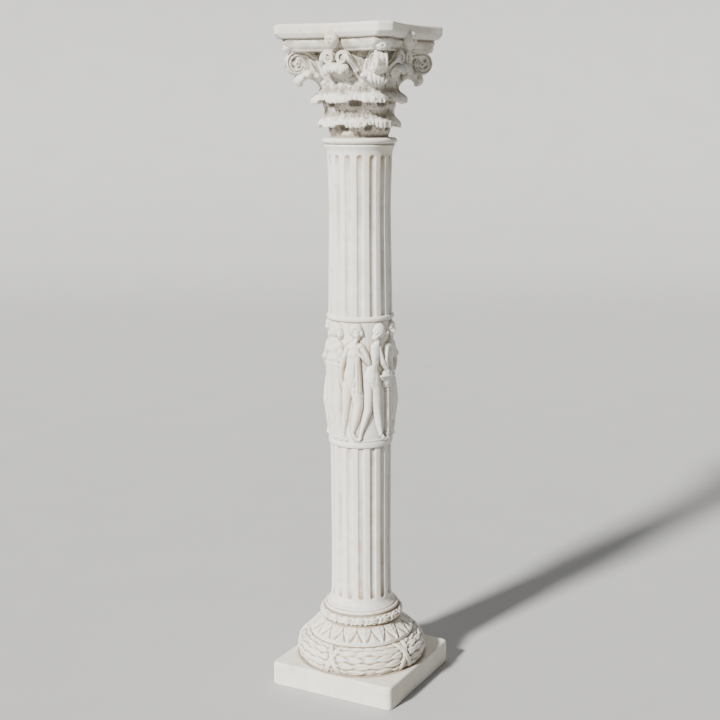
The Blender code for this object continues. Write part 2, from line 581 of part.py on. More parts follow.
def loft(name, rings, collection):
    """A closed body through rings of equally many points, with flat ends."""
    shape = bmesh.new()
    rows = [[shape.verts.new(point) for point in ring] for ring in rings]
    for low, high in zip(rows, rows[1:]):
        for index in range(len(low)):
            after = (index + 1) % len(low)
            shape.faces.new((low[index], low[after], high[after], high[index]))
    shape.faces.new(list(reversed(rows[0])))
    shape.faces.new(rows[-1])
    bmesh.ops.recalc_face_normals(shape, faces=shape.faces)
    mesh = bpy.data.meshes.new(name)
    shape.to_mesh(mesh)
    shape.free()
    return add_object(name, mesh, collection)


def make_abacus(collection):
    foot = ABACUS_BOTTOM - UNDER_MOULD_HEIGHT
    levels = [(UNDER_MOULD_FOOT_INSET, foot), (UNDER_MOULD_FOOT_INSET - 0.007, foot + 0.010),
              (UNDER_MOULD_TOP_INSET + 0.002, ABACUS_BOTTOM - 0.006), (UNDER_MOULD_TOP_INSET, ABACUS_BOTTOM - 0.001),
              (ABACUS_EDGE + 0.003, ABACUS_BOTTOM), (0.0, ABACUS_BOTTOM + ABACUS_EDGE * 1.6),
              (0.0, COLUMN_TOP - ABACUS_EDGE),
              (ABACUS_EDGE * 0.3, COLUMN_TOP - ABACUS_EDGE * 0.3), (ABACUS_EDGE, COLUMN_TOP)]
    rings = [[(x, y, height) for x, y in abacus_outline(inset)] for inset, height in levels]
    return loft("abacus", rings, collection)


SQUARE_SECTION = ((1.0, 1.0), (-1.0, 1.0), (-1.0, -1.0), (1.0, -1.0))
LEAF_SECTION = ((1.0, 0.0), (0.5, 0.9), (-0.5, 0.9), (-1.0, 0.0), (-0.5, -0.9), (0.5, -0.9))


def band(name, path, half_widths, half_thicknesses, section, turn, collection):
    """A strap bent along a path of (outward, up) points, as wide across as its half widths say."""
    path = np.asarray(path)
    direction = np.gradient(path, axis=0)
    direction /= np.linalg.norm(direction, axis=1)[:, None]
    normal = np.stack([-direction[:, 1], direction[:, 0]], axis=1)
    rings = []
    for point, out, wide, thick in zip(path, normal, half_widths, half_thicknesses):
        ring = []
        for across, through in section:
            reach = point[0] + out[0] * through * thick
            ring.append((reach, across * wide, point[1] + out[1] * through * thick))
        rings.append([(x * math.cos(turn) - y * math.sin(turn), x * math.sin(turn) + y * math.cos(turn), z)
                      for x, y, z in ring])
    return loft(name, rings, collection)


def spiral(centre, radius, turns, count, start):
    """Points that wind inwards, clockwise from the start angle in degrees."""
    points = []
    for t in np.linspace(0.0, 1.0, count):
        angle = math.radians(start) - t * turns * math.tau
        reach = radius * (1.0 - 0.72 * t)
        points.append((centre[0] + reach * math.cos(angle), centre[1] + reach * math.sin(angle)))
    return points


def ball(name, centre, radii, sides, turn, collection):
    """An egg shape at a place given as (outward, across, up)."""
    shape = bmesh.new()
    bmesh.ops.create_uvsphere(shape, u_segments=sides, v_segments=sides * 2 // 3, radius=1.0)
    bmesh.ops.scale(shape, vec=radii, verts=shape.verts)
    bmesh.ops.translate(shape, vec=centre, verts=shape.verts)
    mesh = bpy.data.meshes.new(name)
    shape.to_mesh(mesh)
    shape.free()
    obj = add_object(name, mesh, collection)
    obj.rotation_euler.z = turn
    return obj


def corner_volute(turn, collection):
    """A big scroll under a horn: a strap that rises from the bell, rolls over and winds in."""
    centre = (VOLUTE_REACH, CAPITAL_BOTTOM + VOLUTE_HEIGHT)
    rolled = VOLUTE_RADIUS - VOLUTE_BAND / 2
    stem = [(UPPER_WAIST_RADIUS - 0.006, CAPITAL_BOTTOM + 0.172), (0.112, CAPITAL_BOTTOM + 0.194),
            (0.128, CAPITAL_BOTTOM + 0.214), (0.147, CAPITAL_BOTTOM + 0.228)]
    path = stem + spiral(centre, rolled, VOLUTE_TURNS, 15, 90)
    count = len(path)
    wide = np.interp(np.arange(count), [0, 4, count - 1], [0.010, VOLUTE_WIDTH / 2, VOLUTE_WIDTH / 2 - 0.003])
    thick = np.interp(np.arange(count), [0, 6, count - 1], [0.007, VOLUTE_BAND / 2, VOLUTE_BAND / 3])
    strap = band("volute", path, wide, thick, SQUARE_SECTION, turn, collection)
    web_path = [(UPPER_WAIST_RADIUS - 0.015, centre[1]), (0.128, centre[1]), (centre[0], centre[1])]
    web = band("volute web", web_path, [0.017, 0.013, 0.012], [rolled, rolled, rolled * 0.85],
               SQUARE_SECTION, turn, collection)
    eye = ball("volute eye", (centre[0], 0.0, centre[1]), (0.008, VOLUTE_WIDTH * 0.5, 0.008), 6, turn, collection)
    knob = ball("horn leaf", (VOLUTE_REACH + 0.018, 0.0, UNDER_MOULD_BOTTOM + 0.010), (0.014, 0.013, 0.014),
                9, turn, collection)
    return [strap, web, eye, knob]


def corner_leaf(turn, collection):
    """An acanthus leaf that climbs the bell and curls over under the volute."""
    tip = (CORNER_LEAF_REACH, CAPITAL_BOTTOM + CORNER_LEAF_HEIGHT)
    root = (UPPER_WAIST_RADIUS - 0.007, CAPITAL_BOTTOM + UPPER_WAIST_HEIGHT - 0.004)
    path = [root, (root[0] + 0.006, root[1] + 0.014), (root[0] + 0.014, root[1] + 0.026)]
    reach = tip[0] - path[-1][0]
    path += [(path[2][0] + reach * t, path[2][1] + 0.011 * math.sin(math.pi * t) + (tip[1] - path[2][1]) * t)
             for t in (0.2, 0.4, 0.6, 0.8, 0.93)]
    path += arc((tip[0] - 0.008, tip[1] - 0.012), (0.008, 0.010), 45, -60, 4)
    count = len(path)
    wide = np.interp(np.arange(count), [0, 4, 8, count - 1], [0.016, CORNER_LEAF_WIDTH / 2, 0.017, 0.007])
    thick = np.interp(np.arange(count), [0, 3, count - 1], [0.007, 0.006, 0.005])
    return [band("corner leaf", path, wide, thick, LEAF_SECTION, turn, collection)]


def side_ornament(turn, collection):
    """The middle of a side: two small scrolls back to back, a leaf tip under them and a mask above."""
    pieces = []
    for side in (-1, 1):
        centre = (side * HELIX_SPREAD, CAPITAL_BOTTOM + HELIX_HEIGHT)
        stem = [(side * 0.052, CAPITAL_BOTTOM + 0.176), (side * 0.045, CAPITAL_BOTTOM + 0.200),
                (side * 0.040, CAPITAL_BOTTOM + 0.214)]
        rolled = spiral((0.0, 0.0), HELIX_RADIUS - 0.003, 1.1, 9, 160)
        path = stem + [(centre[0] - side * x, centre[1] + z) for x, z in rolled]
        count = len(path)
        strap = band("helix", path, np.full(count, HELIX_WIDTH / 2), np.full(count, 0.003),
                     SQUARE_SECTION, math.pi / 2, collection)
        for vertex in strap.data.vertices:
            vertex.co.x += HELIX_REACH
        strap.rotation_euler.z = turn
        disc = ball("helix eye", (HELIX_REACH - 0.012, centre[0], centre[1]),
                    (0.020, HELIX_RADIUS * 0.75, HELIX_RADIUS * 0.75), 6, turn, collection)
        pieces += [strap, disc]
    foot = CAPITAL_BOTTOM + 0.150
    path = [(0.100, foot), (0.108, foot + 0.020), (0.117, foot + 0.036), (0.128, foot + 0.045),
            (0.138, foot + 0.044), (0.144, foot + 0.036)]
    leaf = band("side leaf", path, [0.012, 0.018, 0.024, 0.027, 0.024, 0.012],
                [0.006, 0.006, 0.006, 0.006, 0.005, 0.004], LEAF_SECTION, turn, collection)
    mask = ball("mask", (MASK_REACH - 0.004, 0.0, CAPITAL_BOTTOM + MASK_HEIGHT),
                (0.016, MASK_HALF_WIDTH, MASK_HALF_HEIGHT), 12, turn, collection)
    return pieces + [leaf, mask]


def make_capital(collection):
    body = turned("capital", capital_profile(), collection)
    carve(body, leaf_ring_relief)
    simplify(body, BELL_TRIANGLES, (CAPITAL_BOTTOM, UNDER_MOULD_BOTTOM + SUNK))
    pieces = []
    for quarter in range(4):
        turn = quarter * math.pi / 2
        pieces += corner_volute(turn + math.pi / 4, collection)
        pieces += corner_leaf(turn + math.pi / 4, collection)
        pieces += side_ornament(turn, collection)
    join(body, pieces, collection)
    simplify(body, CAPITAL_TRIANGLES, (CAPITAL_BOTTOM, UNDER_MOULD_BOTTOM + SUNK))
    join(body, [make_abacus(collection)], collection)
    return body


def main():
    collection = clear_scene()
    finish(make_base(collection), stone("base stone", (0.66, 0.63, 0.56), 0.88))
    finish(make_shaft(collection), stone("shaft stone", (0.68, 0.66, 0.60), 0.85))
    finish(make_capital(collection), stone("capital stone", (0.63, 0.60, 0.53), 0.90))


main()
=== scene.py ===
# %% [markdown]
# A garden column of cast stone
#
# The column is three casts stacked dry: a moulded base on a square plinth, a fluted shaft with a band of
# bathers in low relief, and a leafy capital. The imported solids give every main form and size. Here each
# cast gets its fine surface. Almost everything is one of two kinds of sheet, worked out on whole arrays:
# a profile turned about the column's axis and then pushed in and out by a carving formula, or a section
# swept along a bent path, for the scrolls and the leaves. A mould maker works in the same order: turn the
# plain body first, then lay the ornament on it.

# %% The frame and the tools
import math

import bpy
import numpy as np
from mathutils import Matrix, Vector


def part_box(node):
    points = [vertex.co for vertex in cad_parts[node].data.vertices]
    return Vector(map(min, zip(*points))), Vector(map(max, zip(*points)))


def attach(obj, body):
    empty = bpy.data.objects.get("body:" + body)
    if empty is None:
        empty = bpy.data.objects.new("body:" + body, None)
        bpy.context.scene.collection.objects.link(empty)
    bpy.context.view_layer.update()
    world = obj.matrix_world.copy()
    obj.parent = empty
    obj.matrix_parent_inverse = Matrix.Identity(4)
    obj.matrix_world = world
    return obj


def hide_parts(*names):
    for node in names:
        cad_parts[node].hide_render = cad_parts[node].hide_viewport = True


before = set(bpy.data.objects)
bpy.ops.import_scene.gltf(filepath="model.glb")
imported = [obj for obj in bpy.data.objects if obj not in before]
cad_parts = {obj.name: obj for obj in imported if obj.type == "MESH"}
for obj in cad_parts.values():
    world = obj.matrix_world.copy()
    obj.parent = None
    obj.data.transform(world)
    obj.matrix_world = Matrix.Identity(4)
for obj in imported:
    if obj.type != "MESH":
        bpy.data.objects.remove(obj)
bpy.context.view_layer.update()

# %% [markdown]
# Places. The frame says where each cast starts and ends, so the visual pieces seat on one another exactly
# as the solids do. The heights of the mouldings are counted up from those seats.

# %% Places taken from the frame
BASE_LOW, BASE_HIGH = (corner.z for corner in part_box("base"))
SHAFT_LOW, SHAFT_HIGH = (corner.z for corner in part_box("shaft"))
CAPITAL_LOW, CAPITAL_HIGH = (corner.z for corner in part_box("capital"))
PLINTH_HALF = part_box("base")[1].x
print("seats at", round(BASE_HIGH, 4), round(SHAFT_HIGH, 4), "top at", round(CAPITAL_HIGH, 4))

# %% [markdown]
# Numbers of the hand. Cast stone is never quite true: the mould sags, air leaves pits, edges wear. One
# smooth noise, summed at a few scales, gives all of it. It mixes whole-number lattice corners by integer
# arithmetic, so it gives the same hills each run.

# %% Noise and small helpers
def unit(value):
    """The value held between 0 and 1."""
    return np.clip(value, 0.0, 1.0)


def smoothstep(low, high, value):
    """0 below low, 1 above high, and an S-curve between."""
    t = unit((value - low) / (high - low))
    return t * t * (3.0 - 2.0 * t)


def hill(value, centre, width):
    """A bell curve: 1 at the centre, about a third at one width from it."""
    return np.exp(-((value - centre) / width) ** 2)


def dome(share, power=0.5):
    """Round on top: 1 in the middle, and 0 where the share of the half width reaches 1."""
    return unit(1.0 - share ** 2) ** power


def once_round(count):
    """Angles once round a circle in count steps, as a row."""
    return np.linspace(0.0, math.tau, count, endpoint=False)[None, :]


def at_level(level, *corners):
    """Corners (radius, height over a level), given in millimetres, in metres."""
    return [(radius / 1000.0, level + height / 1000.0) for radius, height in corners]


def to_line(right, up, start, end):
    """For each place, how far along from start to end it is as a share, and how far off that line."""
    run = np.subtract(end, start)
    along = unit(((right - start[0]) * run[0] + (up - start[1]) * run[1]) / max(run @ run, 1e-9))
    return along, np.hypot(right - start[0] - along * run[0], up - start[1] - along * run[1])


def leaned(right, up, centre, tilt):
    """Places counted from a centre, along axes that are tilted clockwise by so many degrees."""
    turn = math.radians(tilt)
    x, y = right - centre[0], up - centre[1]
    return x * math.cos(turn) - y * math.sin(turn), x * math.sin(turn) + y * math.cos(turn)


def lattice(corner, seed):
    """A number from 0 to 1 for each whole-number corner, mixed from its three coordinates."""
    mixed = (corner[..., 0] * 73856093) ^ (corner[..., 1] * 19349663) ^ (corner[..., 2] * 83492791)
    mixed = (mixed + seed * 2654435) & 0x7FFFFFFF
    mixed = ((mixed >> 13) ^ mixed) * 1274126177 & 0x7FFFFFFF
    mixed = ((mixed >> 16) ^ mixed) * 971 & 0xFFFF
    return mixed / 65535.0


def noise(points, size, seed=0):
    """Smooth hills about as wide as size, from -1 to 1: corner values blended along each axis."""
    scaled = points / size
    whole = np.floor(scaled).astype(np.int64)
    part = scaled - whole
    part = part * part * (3.0 - 2.0 * part)
    total = np.zeros(points.shape[:-1])
    for corner in np.ndindex(2, 2, 2):
        weight = np.prod(np.where(corner, part, 1.0 - part), axis=-1)
        total += weight * lattice(whole + np.array(corner), seed)
    return total * 2.0 - 1.0


def rough(points, size, seed=0, octaves=3):
    """Noise at halving sizes and halving strengths, added up."""
    return sum(noise(points, size / 2 ** k, seed + k) / 2 ** k for k in range(octaves)) / 2.0


def blurred(field, rows, columns):
    """A field smoothed by a bell curve of so many rows and columns; it wraps round its columns."""
    padded = np.concatenate([field[::-1], field, field[::-1]], axis=0)
    tall = np.fft.fftfreq(padded.shape[0])[:, None]
    wide = np.fft.fftfreq(padded.shape[1])[None, :]
    keep = np.exp(-2.0 * (np.pi * tall * rows) ** 2 - 2.0 * (np.pi * wide * columns) ** 2)
    smooth = np.fft.ifft2(np.fft.fft2(padded) * keep).real
    return smooth[field.shape[0]:2 * field.shape[0]]


print("noise sample", np.round(noise(np.array([[0.01, 0.02, 0.03], [0.4, 0.1, 0.9]]), 0.01), 3))

# %% [markdown]
# Sheets. A piece is a grid of points that wraps round its columns. Its first and last rows may close to a
# point, as a turned body does on its axis. Going down the rows and anticlockwise round the columns, the
# faces look outwards. Each point also carries a share of painted shade and dirt: mostly how deep it lies in
# the carving, where shade is painted, and where the dirt of the finish settled and was not wiped off.

# %% From grids of points to a piece
SHARP_EDGE = math.radians(72)


def normals_of(points):
    """Outward unit normals of a grid that wraps round: down the rows crossed with round the columns."""
    down = np.gradient(points, axis=0)
    around = np.roll(points, -1, axis=1) - np.roll(points, 1, axis=1)
    normal = np.cross(down, around)
    return normal / np.maximum(np.linalg.norm(normal, axis=-1, keepdims=True), 1e-15)


def recess_of(points, spread, depth):
    """How far each point lies under the sheet smoothed by spread (rows, columns), as a share of depth."""
    smooth = np.stack([blurred(points[..., axis], *spread) for axis in range(3)], axis=-1)
    under = ((smooth - points) * normals_of(smooth)).sum(-1)
    return unit((under - np.median(under)) / depth)


def faces_of(rows, columns, first):
    """Quads between the rows, and a fan over each end row, as corner indices counted from first."""
    index = np.arange(rows * columns).reshape(rows, columns)
    after = np.roll(index, -1, axis=1)
    quads = np.stack([index[:-1], index[1:], after[1:], after[:-1]], axis=-1).reshape(-1, 4)
    top = np.full(columns, rows * columns)
    fans = np.concatenate([np.stack([top, index[0], after[0]], axis=-1),
                           np.stack([top + 1, after[-1], index[-1]], axis=-1)])
    return quads + first, fans + first


def piece_from_grids(name, grids, node):
    """A piece of closed sheets, each given as (points, recess), that stands for part of a CAD node."""
    places, depths, quads, fans, first = [], [], [], [], 0
    for points, shade_and_dirt_share in grids:
        rows, columns = points.shape[:2]
        four, three = faces_of(rows, columns, first)
        quads.append(four)
        fans.append(three)
        places += [points.reshape(-1, 3), points[0].mean(0)[None], points[-1].mean(0)[None]]
        depths += [shade_and_dirt_share.ravel(), [shade_and_dirt_share[0].mean(), shade_and_dirt_share[-1].mean()]]
        first += rows * columns + 2
    quads, fans = np.concatenate(quads), np.concatenate(fans)
    mesh = bpy.data.meshes.new(name)
    mesh.vertices.add(first)
    mesh.vertices.foreach_set("co", np.concatenate(places).astype(np.float32).ravel())
    mesh.loops.add(quads.size + fans.size)
    mesh.loops.foreach_set("vertex_index", np.concatenate([quads.ravel(), fans.ravel()]).astype(np.int32))
    starts = np.concatenate([np.arange(len(quads)) * 4, quads.size + np.arange(len(fans)) * 3])
    mesh.polygons.add(len(starts))
    mesh.polygons.foreach_set("loop_start", starts.astype(np.int32))
    mesh.update(calc_edges=True)
    mesh.shade_smooth()
    mesh.set_sharp_from_angle(angle=SHARP_EDGE)
    # The share of painted shade and dirt, which the stone's colour reads.
    carried = mesh.attributes.new("shade_and_dirt_share", "FLOAT", "POINT")
    carried.data.foreach_set("value", np.concatenate(depths).astype(np.float32))
    mesh.materials.append(STONES[node])
    piece = bpy.data.objects.new(name, mesh)
    bpy.context.scene.collection.objects.link(piece)
    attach(piece, "root")
    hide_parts(node)
    print(name, len(quads) * 2 + len(fans), "triangles")


# %% [markdown]
# The stone. It is a pale ivory cast stone, matt and a little chalky. The maker brushed a brown wash over it and
# wiped it off again, so the wash stays in the hollows, at the ends of the flutes and in the pores; the same brown
# is painted there as shade too. The colour is mixed from three things: broad clouds, the share of painted shade and
# dirt that each point carries, and fine grain. Grain and pores are too small for the mesh, so they are bump.

# %% A wrapper that lets node sockets be added and multiplied
class Wire:
    """A socket of a material's nodes, with arithmetic that adds Math nodes."""

    def __init__(self, tree, socket):
        self.tree = tree
        self.socket = socket

    def node(self, kind, inputs=(), output=0, **settings):
        """Any other node, with inputs given by name or number and its settings by name."""
        made = self.tree.nodes.new(kind)
        for key, value in settings.items():
            setattr(made, key, value)
        for key, value in dict(inputs).items():
            if isinstance(value, Wire):
                self.tree.links.new(value.socket, made.inputs[key])
            else:
                made.inputs[key].default_value = value
        return Wire(self.tree, made.outputs[output])

    def math(self, operation, first, second):
        return self.node("ShaderNodeMath", {0: first, 1: second}, operation=operation)

    def __add__(self, other):
        return self.math("ADD", self, other)

    def __radd__(self, other):
        return self.math("ADD", other, self)

    def __sub__(self, other):
        return self.math("SUBTRACT", self, other)

    def __rsub__(self, other):
        return self.math("SUBTRACT", other, self)

    def __mul__(self, other):
        return self.math("MULTIPLY", self, other)

    def __rmul__(self, other):
        return self.math("MULTIPLY", other, self)

    def clamp(self, low, high):
        """Remapped so that low becomes 0 and high becomes 1, and held there."""
        return self.node("ShaderNodeMapRange", {"Value": self, "From Min": low, "From Max": high})

    def mix(self, first, second):
        """A colour between two, by this wire. Inputs 6 and 7 and output 2 are the Mix node's colour sockets."""
        return self.node("ShaderNodeMix", {0: self, 6: first, 7: second}, output=2, data_type="RGBA")


# %% The cast stone, in three slightly different casts
WARM_SHADE, BUFF = (0.935, 0.895, 0.825, 1.0), (0.58, 0.545, 0.475, 1.0)


def stone(name, pale, shade_and_dirt_colour, shade_and_dirt_strength, pore_strength):
    """Cast stone: clouds and grain in the pale colour, a brown for painted shade and dirt in the recesses, and bump
    for the pores.
    """
    material = bpy.data.materials.new(name)
    material.use_nodes = True
    tree = material.node_tree
    shader = tree.nodes["Principled BSDF"]
    place = Wire(tree, tree.nodes.new("ShaderNodeTexCoord").outputs["Object"])
    depth = place.node("ShaderNodeAttribute", attribute_name="shade_and_dirt_share", output=2)

    def clouds(scale, detail):
        inputs = {"Vector": place, "Scale": scale, "Detail": detail, "Roughness": 0.6}
        return place.node("ShaderNodeTexNoise", inputs)

    broad, middle, fine, grains = (clouds(*size) for size in ((6.0, 3.0), (38.0, 4.0), (420.0, 3.0), (330.0, 3.0)))
    warm = tuple(channel * factor for channel, factor in zip(pale, WARM_SHADE))
    ground = broad.clamp(0.35, 0.68).mix(pale, warm)
    ground = (0.30 * middle.clamp(0.48, 0.78)).mix(ground, BUFF)
    # The brown lies where the carving is deep, as painted shade and dirt, and grains break up its edge.
    held = depth + 0.45 * (middle - 0.5) + (grains - 0.5) * depth * (0.6 + pore_strength)
    colour = (shade_and_dirt_strength * held.clamp(0.12, 0.80)).mix(ground, shade_and_dirt_colour)
    # Pores are the middles of small cells, open only where both the slower clouds are high.
    pores = place.node("ShaderNodeTexVoronoi", {"Vector": place, "Scale": 150.0, "Randomness": 1.0})
    open_pores = (0.17 - pores).clamp(0.0, 0.10) * (broad + middle).clamp(0.98, 1.25)
    colour = (0.65 * pore_strength * open_pores).mix(colour, shade_and_dirt_colour)
    tree.links.new(colour.socket, shader.inputs["Base Color"])
    tree.links.new((0.80 + fine * 0.22).socket, shader.inputs["Roughness"])
    shader.inputs["Specular IOR Level"].default_value = 0.28
    height = fine * 0.35 + middle * 0.5 - open_pores * pore_strength
    bump = place.node("ShaderNodeBump", {"Height": height, "Strength": 0.32, "Distance": 0.0011})
    tree.links.new(bump.socket, shader.inputs["Normal"])
    return material


STONES = {
    "base": stone("ivory stone, base", (0.80, 0.775, 0.715, 1.0), (0.31, 0.235, 0.155, 1.0), 0.92, 1.1),
    "shaft": stone("ivory stone, shaft", (0.82, 0.80, 0.75, 1.0), (0.36, 0.27, 0.185, 1.0), 0.88, 0.6),
    "capital": stone("ivory stone, capital", (0.79, 0.765, 0.705, 1.0), (0.27, 0.232, 0.18, 1.0), 0.95, 2.4),
}
print("materials:", [material.name for material in STONES.values()])

# %% [markdown]
# The base mouldings. From the top they are a small neck, a round with running foliage, a hollow with hanging
# leaves, a fillet, and the big round that is bound like a laurel garland. On the real object they were
# modelled in clay and cast with the plinth. Each moulding here is a short profile and a carving formula over
# its own little map of (angle, how far down), so the leaves follow the curve of the moulding.

# %% Helpers for turned mouldings
def arc(centre, radii, start, end, count):
    """Points of an ellipse's arc from start to end, in degrees."""
    turn = np.radians(np.linspace(start, end, count))
    return np.stack([centre[0] + radii[0] * np.cos(turn), centre[1] + radii[1] * np.sin(turn)], axis=1)


def walked(corners, count, crowd=None):
    """A path through the corners in count steps, that are closer together where crowd(heights) is large."""
    path = np.asarray(corners, float)
    fine = np.linspace(0.0, len(path) - 1.0, 4001)
    path = np.stack([np.interp(fine, np.arange(len(path)), path[:, axis]) for axis in (0, 1)], axis=1)
    step = np.hypot(*np.diff(path, axis=0).T)
    if crowd is not None:
        step = step * crowd((path[1:, 1] + path[:-1, 1]) / 2)
    gone = np.concatenate([[0.0], np.cumsum(step)])
    where = np.linspace(0.0, gone[-1], count)
    return np.stack([np.interp(where, gone, path[:, axis]) for axis in (0, 1)], axis=1)


def turned(path, relief, angles):
    """A profile of (radius, height) turned about Z, then moved along its own normal by relief."""
    run = np.gradient(path, axis=0)
    run /= np.maximum(np.hypot(*run.T), 1e-12)[:, None]
    radius = path[:, :1] - relief * run[:, 1:]
    height = path[:, 1:] + relief * run[:, :1]
    return np.stack([radius * np.cos(angles), radius * np.sin(angles), height + 0.0 * angles], axis=-1)


def soft_max(first, second, soft):
    """The larger of two heights, rounded over where they are within soft of each other."""
    near = unit(1.0 - np.abs(first - second) / soft)
    return np.maximum(first, second) + soft * near * near / 4.0


BASE_COLUMNS = 480
base_angles = once_round(BASE_COLUMNS)
PLINTH_TOP = BASE_LOW + 0.065
LAUREL_Z = PLINTH_TOP + 0.028
FILLET_Z = LAUREL_Z + 0.041
HOLLOW_FOOT_Z = FILLET_Z + 0.012
HOLLOW_TOP_Z = HOLLOW_FOOT_Z + 0.035
SCROLL_Z = HOLLOW_TOP_Z + 0.0145
print("laurel middle", round(LAUREL_Z, 4), "foliage middle", round(SCROLL_Z, 4))

# %% The laurel garland with its ribbon ties
GARLAND_RADIUS, GARLAND_HALF_WIDTH, GARLAND_HALF_HEIGHT = 0.1795, 0.0335, 0.041
LEAF_ROWS, LEAF_PITCH, TIES = 5, math.radians(14.4), 5
FIRST_TIE = math.radians(-89.8)
GARLAND_ROWS, GARLAND_GIRTH, RIBBON_LEAN, RIBBON_HALF = 84, 0.092, 0.46, 0.0084


def laurel_leaf(along, across):
    """A lens that rises towards its tip: as wide as a sine of its length, with a groove for the midrib."""
    inside = unit(along)
    half = np.maximum(1.16 * np.sin(math.pi * inside ** 0.85) ** 0.8, 1e-3)
    round_top = dome(across / half, 0.42)
    rib = 0.20 * hill(across, 0.0, 0.18) * smoothstep(0.0, 0.2, inside)
    return round_top * (0.20 + 0.80 * inside ** 0.8 - rib) * (along > 0.0) * (along < 1.0)


def garland_relief(angles, down):
    """Staggered leaves that run away from each tie, each over the foot of the next, and two crossed ribbons."""
    pitch = math.tau / TIES
    turn = (angles - FIRST_TIE + pitch / 2) % pitch - pitch / 2
    tie = np.floor((angles - FIRST_TIE + pitch / 2) / pitch)
    reach = np.abs(turn) / LEAF_PITCH
    height = np.zeros(np.broadcast_shapes(angles.shape, down.shape))
    for row in range(-1, LEAF_ROWS + 1):
        offset = reach + 0.5 * (row % 2) + 0.3
        first = np.floor(offset)
        for behind in (0, 1):
            leaf_key = np.stack([first - behind, tie * 2 + np.sign(turn), 0.0 * first + row], axis=-1)
            chance = lattice(leaf_key.astype(np.int64), 17) - 0.5
            along = (offset - first + behind) / (1.42 + 0.16 * chance)
            lean = 0.62 * chance + 0.22 * np.sin(2.2 * row)
            across = 2.0 * (down * LEAF_ROWS - row - 0.5) + 1.5 * lean * (along - 0.55)
            height = np.maximum(height, (0.0104 + 0.0020 * chance) * laurel_leaf(along, across / 1.04))
    wide = turn * GARLAND_RADIUS
    tall = (down - 0.5) * GARLAND_GIRTH
    for lean in (-RIBBON_LEAN, RIBBON_LEAN):
        away = np.abs(wide - lean * tall) / RIBBON_HALF
        height = height - 0.0030 * hill(away, 1.15, 0.30)
        ribbon = 0.0088 - 0.0020 * hill(away, 0.0, 0.34)
        height = height + (np.maximum(height, ribbon) - height) * (1.0 - smoothstep(0.80, 1.05, away))
    return height - 0.0058


garland_path = arc((GARLAND_RADIUS - GARLAND_HALF_WIDTH, LAUREL_Z), (GARLAND_HALF_WIDTH, GARLAND_HALF_HEIGHT),
                   97, -43, GARLAND_ROWS)
garland_down = np.linspace(0.0, 1.0, GARLAND_ROWS)[:, None]
garland = blurred(garland_relief(base_angles, garland_down), 0.8, 0.8)
garland *= 0.25 + 0.75 * smoothstep(0.0, 0.12, garland_down)
print("garland stands", np.round(1000 * garland.min(), 1), "to", np.round(1000 * garland.max(), 1), "mm")

# %% The hanging leaves of the hollow, and its fillet
HANGING_LEAVES, HOLLOW_ROWS = 18, 46
LEAF_START = math.radians(-57.76)


def hanging_leaf_relief(angles, fall):
    """Leaves that taper to a tip at the foot, each with a raised edge, a midrib and side veins; between each
    two stands a small dart that points up."""
    turn = (angles - LEAF_START) / math.tau * HANGING_LEAVES
    across = 2.0 * (turn - np.floor(turn + 0.5))
    side = np.abs(across)
    half = np.where(fall < 0.22, 1.0, 1.0 - unit((fall - 0.22) / 0.78) ** 1.5 * 0.97)
    share = side / half
    blade = 0.0046 * np.sqrt(unit(1.0 - share ** 3))
    rim = 0.0016 * hill(share, 0.84, 0.10)
    rib = 0.0018 * hill(side, 0.0, 0.09)
    veins = 0.0007 * np.cos(math.tau * (fall * 4.2 + side * 1.3)) * (share < 0.72)
    leaf = np.where(share < 1.0, blade + rim + rib + veins, 0.0)
    from_gap = (1.0 - side) / np.maximum(0.62 * unit((fall - 0.38) / 0.62) ** 0.7, 1e-3)
    dart = 0.0034 * dome(from_gap) + 0.0010 * hill(from_gap, 0.0, 0.15)
    dart = np.where((from_gap < 1.0) & (fall > 0.38), dart, 0.0)
    moat = 0.0012 * hill(share, 1.05, 0.08) * smoothstep(0.22, 0.4, fall)
    return (np.maximum(leaf, dart) - moat - 0.0024) * smoothstep(0.02, 0.16, fall)


fall = np.linspace(0.0, 1.0, HOLLOW_ROWS)[:, None]
hollow_path = np.concatenate([0.107 + 0.0375 * fall ** 1.35, HOLLOW_TOP_Z - 0.035 * fall * 0.96], axis=1)
hollow = blurred(hanging_leaf_relief(base_angles, fall), 0.7, 0.8)
fillet_path = walked(at_level(FILLET_Z, (144.5, 11.8), (145.0, 8.5), (144.8, 4.0), (143.2, 1.2), (140.5, 0.4)), 12)
print("hollow stands", np.round(1000 * hollow.min(), 1), "to", np.round(1000 * hollow.max(), 1), "mm")

# %% The running foliage of the small round
SCROLL_RADIUS, SCROLL_HALF, SCROLL_ROWS = 0.1145, 0.0145, 36


def ring(right, up, centre, radius, width, rise):
    """A round loop of that radius, with a rounded section of that half width."""
    return rise * dome(np.abs(np.hypot(right - centre[0], up - centre[1]) - radius) / width)


def lobe(right, up, start, end, widths, rise):
    """A tapering leaf lobe from start to end, half round across."""
    along, away = to_line(right, up, start, end)
    return rise * dome(away / (widths[0] + (widths[1] - widths[0]) * along))


